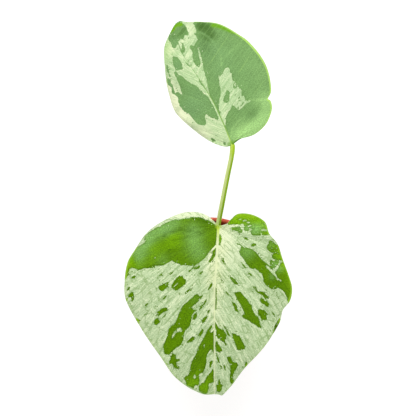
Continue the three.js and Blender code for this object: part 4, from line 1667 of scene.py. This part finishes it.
SMALL_RIGHT = Half(
    sign=1,
    margin=(
        0, 0, 4.4, 0.9, 8.8, 0.9, 19.9, -1, 31.8, 1.8, 41, 9.2, 43.8, 16, 42.9, 19, 48.6, 24,
        54.1, 38.5, 55.3, 52, 52.5, 71.3, 47.8, 85.1, 40.4, 96.5, 29.3, 105.2, 19.2, 110.7,
        14.8, 115.1, 12, 122,
    ),
    lift=3,
    bend=0.004,
    lobe_turn=-20,
    ruffle=(1.4, 3.5, 0.35),
    roll=(3, 0.62, 0.92),
    leafy=True,
    pale=(
        (
            411, 0, 421, 2, 439, 4, 461, 7, 468, 11, 470, 16, 479, 20, 461, 22, 436, 24,
            425, 25, 420, 30, 418, 40, 407, 45, 401, 51, 411, 50, 425, 45, 441, 41, 455, 41,
            468, 41, 475, 37, 489, 40, 500, 41, 521, 39, 536, 38, 546, 40, 561, 38, 568, 36,
            586, 40, 598, 42, 604, 40, 614, 43, 627, 43, 634, 40, 636, 35, 630, 30, 634, 27,
            645, 24, 632, 22, 620, 20, 611, 18, 600, 17, 586, 15, 568, 11, 559, 7, 546, 4,
            525, 2, 500, 1, 500, 0,
        ),
        (
            600, 0, 607, 0, 629, 2, 650, 4, 671, 7, 695, 10, 718, 13, 732, 16, 746, 20,
            761, 23, 779, 27, 796, 31, 804, 33, 807, 33, 800, 29, 786, 24, 771, 20, 757, 17,
            746, 14, 743, 10, 750, 9, 757, 8, 779, 9, 793, 12, 807, 17, 814, 19, 828, 19,
            837, 23, 832, 26, 818, 28, 821, 33, 821, 40, 825, 45, 836, 48, 846, 51, 848, 55,
            853, 60, 859, 65, 868, 70, 877, 75, 880, 79, 893, 84, 898, 110,
            960, 110, 950, 72, 939, 72, 932, 70, 923, 65, 914, 60, 907, 55, 902, 50, 893, 48,
            882, 45, 877, 41, 879, 37, 889, 34, 896, 30, 888, 25, 886, 20, 893, 15, 898, 10,
            898, 0,
        ),
        (300, 55, 300, 59, 304, 58, 304, 55),
    ),
    islands=(
        (
            510, 16, 514, 19, 526, 21, 540, 24, 553, 24, 562, 23, 556, 20, 548, 16, 540, 12,
            529, 12, 518, 14,
        ),
        (
            533, 33, 529, 35, 531, 38, 536, 39, 537, 38, 534, 37, 533, 36, 540, 34, 547, 34,
            551, 36, 546, 38, 549, 39, 553, 36, 549, 33, 541, 32,
        ),
        (434, 26, 440, 28, 445, 26, 440, 25),
        (432, 31, 436, 33, 441, 32, 437, 30),
        (434, 35, 438, 37, 442, 35, 438, 34),
        (474, 32, 479, 34, 483, 33, 478, 31),
        (503, 29, 507, 31, 511, 30, 507, 28),
        (
            857, 1, 846, 3, 842, 6, 846, 10, 854, 12, 862, 11, 872, 13, 877, 12, 868, 9, 861, 6,
            861, 2,
        ),
        (837, 50, 841, 53, 852, 54, 856, 52, 848, 50),
    ),
    tone=(
        Tint(0.1, 0.8, 14, 0.6), Tint(0.2, 0.92, 12, 0.6), Tint(0.05, 0.4, 9, 0.25),
        Tint(0.3, 0.95, 8, 0.4), Tint(0.85, 0.8, 5, -0.9), Tint(0.81, 0.83, 4, -0.5),
        Tint(0.8, 0.6, 7, -0.45), Tint(0.36, 0.42, 6, -0.25), Tint(0.915, 0.2, 4, -0.5),
        Tint(0.45, 0.85, 12, 0.25), Tint(0.39, 0.6, 8, 0.15), Tint(0.7, 0.35, 7, -0.15),
        Tint(0.915, 0.5, 4, -0.5), Tint(0.32, 0.45, 7, -0.15), Tint(0.76, 0.35, 8, -0.35),
        Tint(0.8, 0.42, 10, -0.15), Tint(0.775, 0.66, 6, -0.35), Tint(0.58, 0.75, 10, 0.15),
        Tint(0.12, 0.85, 8, 0.4), Tint(0.2, 0.3, 5, 0.3),
    ),
    sheen_and_highlight=(
        Tint(0.5, 0.72, 24, 0.25), Tint(0.65, 0.3, 12, 0.4), Tint(0.76, 0.35, 9, 0.7),
        Tint(0.7, 0.55, 12, 0.3), Tint(0.8, 0.45, 6, 0.4), Tint(0.89, 0.65, 9, 0.5),
        Tint(0.89, 0.15, 5, 0.4),
    ),
    creases=(
        Crease((340, 40, 310, 48, 300, 62, 306, 74), 2.0, 0.4, 0.15),
        Crease((640, 36, 690, 42, 745, 48, 800, 50), 1.2, 0.35, -0.1),
        Crease((715, 95, 745, 93, 775, 91, 800, 89), 2.6, glow=0.9),
        Crease((600, 98, 650, 97, 700, 96), 1.8, glow=0.45),
        Crease((967, 0, 964, 20, 959, 40, 952, 58), 2.3, glow=1.5),
        Crease((864, 58, 821, 61, 779, 58, 729, 52, 686, 44, 657, 35), 0.9, shadow=-0.4),
        Crease((679, 44, 664, 58, 657, 67, 650, 82, 643, 97), 0.8, shadow=-0.3),
        Crease((321, 3, 364, 9, 371, 23, 336, 44), 0.7, shadow=-0.2),
        Crease((430, 43, 371, 64, 307, 97), 0.8, shadow=-0.3),
    ),
)

SMALL_LEFT = Half(
    sign=-1,
    margin=(
        0, 0, -5.6, 1.6, -13, 10.2, -19.7, 24.6, -26.5, 42.1, -27.9, 54, -23.1, 72.3,
        -16.4, 86.8, -9.4, 101.3, -3.6, 107.8, 2.6, 112.4, 8, 116.6, 12, 122,
    ),
    lift=-6,
    bend=0.014,
    lobe_turn=-12,
    ruffle=(1.2, 3, 0.1),
    roll=(2, 0.1, 0.6),
    green=(
        (
            407, 31, 393, 34, 379, 37, 373, 43, 366, 48, 368, 52, 382, 54, 400, 54, 421, 56,
            439, 59, 446, 64, 457, 70, 471, 74, 479, 76, 490, 74, 500, 76, 512, 75, 521, 73,
            532, 73, 539, 76, 541, 80, 553, 77, 561, 74, 566, 69, 562, 66, 557, 63, 553, 60,
            571, 59, 596, 59, 618, 60, 636, 62, 650, 64, 664, 68, 682, 67, 686, 62, 678, 58,
            670, 57, 675, 52, 675, 48, 668, 43, 661, 39, 653, 30, 650, 20, 641, 15, 629, 12,
            618, 10, 607, 7, 596, 5, 571, 5, 536, 4, 500, 4, 475, 4, 462, 6, 461, 15, 464, 18,
            477, 20, 479, 24, 468, 26, 453, 28, 436, 29, 418, 30,
        ),
        (
            541, 79, 543, 87, 553, 87, 568, 85, 580, 85, 584, 90, 587, 94, 605, 97, 618, 95,
            625, 90, 621, 85, 605, 84, 593, 81, 573, 80, 556, 80,
        ),
        (636, 86, 640, 82, 648, 83, 650, 87, 644, 88),
        (657, 86, 657, 90, 668, 92, 676, 94, 690, 93, 702, 90, 696, 87, 683, 88, 672, 86),
        (
            697, 61, 703, 55, 714, 48, 721, 40, 732, 35, 746, 34, 757, 31, 771, 31, 782, 35,
            789, 40, 786, 45, 782, 50, 779, 56, 771, 60, 750, 62, 729, 64, 711, 63,
        ),
        (645, 0, 655, 1, 668, 4, 680, 6, 692, 4, 705, 2, 715, 0),
        (772, 5, 778, 8, 785, 11, 792, 10, 788, 6, 780, 4),
        (
            889, 0, 882, 10, 875, 20, 864, 24, 857, 29, 846, 34, 841, 40, 836, 45, 837, 52,
            846, 55, 855, 60, 855, 70, 857, 80, 864, 85, 875, 91, 888, 97, 900, 110,
            1000, 110, 1000, 0,
        ),
        (
            140, 25, 118, 28, 103, 32, 92, 36, 78, 42, 66, 50, 60, 58, 66, 60, 80, 52, 92, 47,
            106, 42, 120, 36, 138, 30, 152, 26,
        ),
        (172, 60, 154, 64, 140, 68, 130, 74, 125, 81, 129, 86, 142, 82, 155, 77, 168, 73, 177, 67),
    ),
    pale=((466, 41, 470, 39, 478, 40, 472, 42),),
    tone=(
        Tint(0.9, 0.45, 4, -0.4), Tint(0.1, 0.4, 8, -0.3),
        Tint(0.15, 0.72, 8, -0.3), Tint(0.6, 0.9, 7, 0.2), Tint(0.42, 0.4, 8, 0.1),
        Tint(0.75, 0.97, 9, 0.25), Tint(0.83, 0.9, 7, 0.25),
    ),
    sheen_and_highlight=(
        Tint(0.5, 0.35, 18, 0.5), Tint(0.6, 0.3, 14, 0.3), Tint(0.74, 0.48, 9, 0.7),
        Tint(0.88, 0.2, 8, 0.7), Tint(0.6, 0.9, 7, 0.6), Tint(0.45, 0.6, 9, 0.5),
        Tint(0.67, 0.9, 6, 0.6), Tint(0.22, 0.8, 10, 0.6), Tint(0.4, 0.92, 14, 1.1),
        Tint(0.55, 0.97, 9, 0.8), Tint(0.47, 0.9, 8, 0.5), Tint(0.82, 0.6, 5, 0.6),
    ),
    creases=(
        Crease((160, 22, 130, 30, 105, 40, 90, 52), 1.5, 0.4, 0.1),
        Crease((965, 0, 959, 20, 951, 40, 943, 60, 928, 80, 910, 98), 2.4, glow=1.6),
    ),
)

SMALL_BLADE = Blade(
    name="small",
    finish=SMALL_FINISH,
    joint=(16.3, 61.3, 176.2),
    heading=28.35,
    slope=11.5,
    roll=14.2,
    midrib=(
        (0, -10), (0, 0), (2.2, 16), (3.8, 35), (3.6, 55), (2, 74), (1.2, 90), (4.5, 106),
        (12, 122), (15, 130),
    ),
    length=122,
    arch=(8, 15 / 100, 62, 109, 123),
    lobe_share=0.22,
    vein_spread=1.5,
    swirl=0.04,
    halves=(SMALL_RIGHT, SMALL_LEFT),
    rows=240,
    columns=64,
)


# Stalks and stem


@dataclass(frozen=True)
class Stalk:
    """A leaf stalk: thick where it sheathes the stem, slim above, with a soft knee under the
    blade and a channel along its upper side near the foot."""

    name: str
    route: tuple[Point, ...]
    facing: Point = (1, 0, 0)
    sheath: float = 3.4
    foot: float = 2.15
    head: float = 1.85
    sheath_end: float = 0.2
    knee: float = 0.15
    channel: float = 0.5
    ridges: int = 11
    ridge_height: float = 0.035
    unevenness: float = 0.04
    rings: int = 150
    sides: int = 40

    def surface(self) -> Surface:
        """The stalk as a closed bar. Its radius is a line from foot to head, plus the sheath's
        extra that eases out, plus the knee; the channel takes a bell off it round angle 0.

        Returns:
            The surface with the note "skin".
        """
        route = even_route(self.route, self.rings)
        share = np.linspace(0, 1, self.rings)
        radius = self.foot + (self.head - self.foot) * share
        radius = radius + (self.sheath - self.foot) * (1 - smooth(0, self.sheath_end, share))
        radius = radius + self.knee * smooth(0.9, 0.97, share)
        radius = radius * np.sqrt(1 - 0.6 * smooth(0.985, 1, share))
        angle = ring_angles(self.sides)
        across = np.minimum(angle, 2 * np.pi - angle)
        fade = 1 - smooth(self.sheath_end, 2.2 * self.sheath_end, share)
        bumps = -self.channel * fade[:, None] * bell(across, 0.5)[None]
        ridges = self.ridge_height * np.cos(self.ridges * angle)[None] + 0 * share[:, None]
        made = bar(route, radius, self.sides, self.facing, bumps + ridges)
        made.points = made.points + self.unevenness * waves(made.points, 7, seed=11)[:, None]
        return made

    def build(self, skin: bpy.types.Material) -> None:
        """Builds the stalk in a finish."""
        node = f"stalk_{self.name}"
        piece(f"{node}_skin", self.surface(), skin, Slot.STALK, node)


@dataclass(frozen=True)
class Stem:
    """The short climbing stem with its leaf scars and one air root."""

    route: tuple[Point, ...] = ((0.5, 2, 42), (1, 2.5, 62), (2, 3, 80), (1.5, 3.5, 98))
    foot: float = 5.4
    head: float = 3.6
    scars: tuple[float, ...] = (0.5, 0.66, 0.82)
    scar_height: float = 0.7
    scar_width: float = 0.025
    root_route: tuple[Point, ...] = (
        (4, 1, 84), (8.5, -1, 84.5), (11.5, -2.5, 82.5), (13, -3.5, 79.8),
    )
    root_radii: Flat = (1.7, 1.2)
    root_rings: int = 60
    root_sides: int = 24
    cork_relief: float = 0.12
    root_relief: float = 0.06
    rings: int = 180
    sides: int = 64

    def surface(self) -> Surface:
        """The stem as a closed bar whose scars stand out as ridges, with fine cork relief, and
        the air root that leaves it.

        Returns:
            The surface with the note "skin".
        """
        share = np.linspace(0, 1, self.rings)
        radius = self.foot + (self.head - self.foot) * share
        ridge = np.max([bell(share - place, self.scar_width) for place in self.scars], axis=0)
        radius = (radius + self.scar_height * ridge) * np.sqrt(1 - 0.75 * smooth(0.9, 1, share))
        stem = bar(even_route(self.route, self.rings), radius, self.sides, (1, 0, 0))
        outward = unit(stem.points * np.array([1, 1, 0]) + np.array([0, 0, 1e-6]))
        cork = self.cork_relief * waves(stem.points, 1.6, seed=5)[:, None]
        stem.points = stem.points + cork * outward
        length = np.linspace(0, 1, self.root_rings)
        start, end = self.root_radii
        thin = (start + (end - start) * length) * np.sqrt(1 - 0.8 * smooth(0.93, 1, length))
        root = bar(even_route(self.root_route, self.root_rings), thin, self.root_sides, (0, 1, 0))
        root.points = root.points + self.root_relief * waves(root.points, 1.1, seed=6)[:, None]
        return joined([stem, root])

    def build(self) -> None:
        """Builds the stem in its finish."""
        piece("stem_skin", self.surface(), StemFinish().material("stem_skin"), Slot.STEM, "stem")


LARGE_STALK = Stalk(
    name="large",
    route=(
        (1.2, -0.5, 86), (-1.5, -3, 100), (-2, -0.5, 118), (1.5, 3.2, 136), (5.4, 3.2, 145.6),
        (5.5, -0.2, 149.9),
    ),
)
SMALL_STALK = Stalk(
    name="small",
    route=(
        (1.8, 6, 88), (3.6, 14, 101), (5.8, 23, 115), (12.8, 46, 152), (16.5, 57.5, 171),
        (16.8, 62.8, 175.9),
    ),
)


# Pot and soil


@dataclass(frozen=True)
class Pot:
    """A moulded pot: a tapering wall, a deep collar under a rolled lip, and drain holes."""

    profile: tuple[Flat, ...] = (
        (0, 0), (33.8, 0), (35, 1.2), (43.4, 69.4), (45.6, 70), (46, 71), (46.7, 81.6),
        (47.8, 82.4), (48, 83.4), (47.5, 84.6), (46.55, 85), (45.6, 84.7), (44.8, 83.4),
        (44.4, 71.2), (41.8, 69), (33.6, 3.2), (32.4, 2), (0, 2),
    )
    holes: int = 5
    hole_radius: float = 3.6
    hole_circle: float = 21
    peg_ends: Flat = (-2, 4)
    peg_segments: int = 32
    rounding: float = 0.45
    segments: int = 192

    def shell(self) -> Surface:
        """The pot without its holes, turned from its rounded profile."""
        return turned(rounded(self.profile, self.rounding), self.segments)

    def drills(self) -> Surface:
        """The pegs that the drain holes are cut with."""
        low, high = self.peg_ends
        radius = self.hole_radius
        profile = np.array([(0, low), (radius, low), (radius, high), (0, high)], float)
        peg = turned(profile, self.peg_segments)
        places = polar(self.hole_circle, ring_angles(self.holes))
        return joined([Surface(peg.points + (*place, 0), peg.faces) for place in places])

    def build(self) -> None:
        """Builds the pot in its finish and drills its drain holes."""
        made = piece("pot_shell", self.shell(), PotFinish().material("pot_skin"), Slot.POT, "pot")
        drilled(made, self.drills())
        LOG.info("pot_shell: %d faces with its holes", len(made.data.polygons))


@dataclass(frozen=True)
class Scatter:
    """Loose grains on the soil: how many, how large, how deep they sit and how rough they are."""

    name: str
    count: int
    sizes: tuple[Point, Point]
    sunk: float
    jag: float
    seed: int
    finish: GrainFinish


SCATTERS = (
    Scatter(
        "soil_crumbs", 1500, ((0.4, 0.4, 0.35), (1.7, 1.5, 1.2)), sunk=0.3, jag=0.25, seed=31,
        finish=GrainFinish((0.014, 0.009, 0.006), (0.09, 0.05, 0.028)),
    ),
    Scatter(
        "soil_perlite", 120, ((0.5, 0.5, 0.4), (1.6, 1.4, 1.2)), sunk=0.25, jag=0.18, seed=41,
        finish=GrainFinish((0.6, 0.58, 0.52), (0.85, 0.84, 0.8)),
    ),
    Scatter(
        "soil_bark", 110, ((1.0, 0.6, 0.25), (4.4, 1.9, 0.7)), sunk=0.3, jag=0.2, seed=51,
        finish=GrainFinish((0.09, 0.04, 0.02), (0.3, 0.16, 0.08), fibre=1.6),
    ),
)


@dataclass(frozen=True)
class Soil:
    """The potting soil: a bed with low mounds that fills the pot, and loose grains on it."""

    level: float = 77
    wall: tuple[Flat, ...] = ((0, 2.3), (32.2, 2.3), (33.3, 3.4), (41.5, 69.2), (44.0, 71.4))
    radius: float = 44.25
    mounds: int = 90
    mound_spread: float = 48
    mound_reach: float = 6.5
    mound_height: float = 2.2
    crumbs: tuple[float, float, float] = (0.45, 0.3, 0.18)
    rings: int = 130
    segments: int = 260

    def height(self, across: Array) -> Array:
        """Height of the soil: cone-shaped mounds, the highest of which counts at each spot, and
        crumbs of three sizes.

        Args:
            across: X and Y, one point to a row.

        Returns:
            The height at each point.
        """
        number = np.arange(self.mounds)
        away = self.mound_spread * np.sqrt((number + 0.5) / self.mounds)
        angle = number * GOLDEN_ANGLE
        tops = polar(away, angle)
        distance = np.linalg.norm(across[:, None] - tops, axis=-1)
        near = np.clip(1 - distance / self.mound_reach, 0, 1)
        lump = (near * (0.4 + 0.6 * np.abs(np.sin(2.4 * number)))).max(axis=1)
        large, middling, small = self.crumbs
        crumbs = large * waves(across, 4.5, seed=21) + middling * waves(across, 2.2, seed=22)
        fine = small * np.abs(waves(across, 1.1, seed=23))
        inner = 1 - smooth(self.radius - 1.5, self.radius, np.linalg.norm(across, axis=1))
        base = self.level - self.mound_height / 2 + self.mound_height * lump
        return base + (crumbs + fine) * inner

    def bed(self) -> Surface:
        """The bed as a closed body: its wall follows the pot, and its top is relief."""
        inward = self.radius * np.sqrt(np.linspace(1, 0, self.rings) ** 1.6)
        profile = np.vstack([self.wall, np.stack([inward, 0 * inward + self.level], axis=1)])
        made = turned(profile, self.segments)
        top = made.points[:, 2] >= self.level
        made.points[top, 2] = self.height(made.points[top, :2])
        return made

    def grains(self, scatter: Scatter) -> Surface:
        """Grains strewn evenly at random over the soil, clear of the wall, part sunk in.

        Args:
            scatter: which grains.

        Returns:
            All of them as one surface.
        """
        dice = np.random.default_rng(scatter.seed)
        low, high = (np.array(size) for size in scatter.sizes)
        sizes = low + (high - low) * dice.random((scatter.count, 1)) ** 2
        reach = self.radius - 0.6 - sizes.max(axis=1)
        away = reach * np.sqrt(dice.random(scatter.count))
        angle = dice.uniform(0, 2 * np.pi, scatter.count)
        across = polar(away, angle)
        lift = sizes.min(axis=1) * (1 - 2 * scatter.sunk)
        centres = np.hstack([across, (self.height(across) + lift)[:, None]])
        return pebbles(centres, sizes, scatter.seed + 1, scatter.jag)

    def build(self) -> None:
        """Builds the bed of soil and the loose grains on it, each in its finish."""
        piece("soil_bed", self.bed(), SoilFinish().material("soil_skin"), Slot.SOIL, "soil")
        for scatter in SCATTERS:
            skin = scatter.finish.material(scatter.name)
            piece(scatter.name, self.grains(scatter), skin, Slot.SOIL)


# Studio


@dataclass(frozen=True)
class Softbox:
    """A soft square light: where it stands and what it faces, in metres."""

    name: str
    place: Point
    aim: Point
    side: float
    watts: float


@dataclass(frozen=True)
class Studio:
    """The floor, the lights, the sky and the camera."""

    target: Point = (-2.612, 14.259, 158.32)
    distance: float = 750
    elevation: float = 60
    field: float = 24.41
    sensor: float = 36
    clip: Flat = (0.01, 50)
    sky: Colour = (1.0, 1.0, 1.0)
    sky_strength: float = 0.42
    floor_side: float = 6.0
    lights: tuple[Softbox, ...] = (
        Softbox("light_over", (-0.1, 0.45, 1.5), (0, 0.02, 0.12), 1.1, 17.0),
        Softbox("light_front", (0.3, -1.3, 1.3), (0, 0, 0.1), 0.9, 4.0),
    )

    def floor(self) -> bpy.types.Object:
        """Lays the floor that the pot stands on."""
        half = self.floor_side / 2 / MM
        corners = np.array([(-1, -1, 0), (1, -1, 0), (1, 1, 0), (-1, 1, 0)]) * half
        made = linked("floor", Surface(corners, [np.array([[0, 1, 2, 3]])]).mesh("floor"))
        made.data.materials.append(FloorFinish().material("floor"))
        return made

    def light(self, box: Softbox) -> bpy.types.Object:
        """Hangs up one soft light and turns it to what it faces."""
        lamp = bpy.data.lights.new(box.name, "AREA")
        lamp.shape = "SQUARE"
        lamp.size = box.side
        lamp.energy = box.watts
        made = linked(box.name, lamp)
        made.location = box.place
        way = Vector(box.aim) - Vector(box.place)
        made.rotation_euler = way.to_track_quat("-Z", "Y").to_euler()
        return made

    def air(self) -> None:
        """Surrounds the scene with even white light."""
        world = bpy.data.worlds.new("air")
        world.use_nodes = True
        board = Board(world.node_tree)
        even = {"Color": self.sky, "Strength": self.sky_strength}
        glow = board.node("ShaderNodeBackground", inputs=even)
        board.node("ShaderNodeOutputWorld", inputs={"Surface": glow.outputs[0]})
        bpy.context.scene.world = world

    def camera(self) -> None:
        """Places the camera on its line to the target, seen from the front and above."""
        lens = bpy.data.cameras.new("camera")
        lens.sensor_fit = "HORIZONTAL"
        lens.sensor_width = self.sensor
        lens.lens = self.sensor / 2 / math.tan(math.radians(self.field / 2))
        lens.clip_start, lens.clip_end = self.clip
        made = linked("camera", lens)
        rise = math.radians(self.elevation)
        away = Vector((0, -math.cos(rise), math.sin(rise))) * self.distance
        made.location = (Vector(self.target) + away) * MM
        made.rotation_euler = (math.radians(90 - self.elevation), 0, 0)
        bpy.context.scene.camera = made

    def build(self) -> None:
        """Sets up the whole studio."""
        self.floor()
        for box in self.lights:
            self.light(box)
        self.air()
        self.camera()
        bpy.context.scene.view_settings.view_transform = "Standard"
        LOG.info("studio: floor, %d lights, camera", len(self.lights))


# The plant put together


def main() -> None:
    """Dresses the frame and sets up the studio."""
    logging.basicConfig(level=logging.INFO, format="%(name)s %(message)s")
    Pot().build()
    Soil().build()
    Stem().build()
    skin = StalkFinish().material("stalk_skin")
    for stalk in (LARGE_STALK, SMALL_STALK):
        stalk.build(skin)
    for blade in (LARGE_BLADE, SMALL_BLADE):
        blade.build()
    Studio().build()


if __name__ == "__main__":
    main()
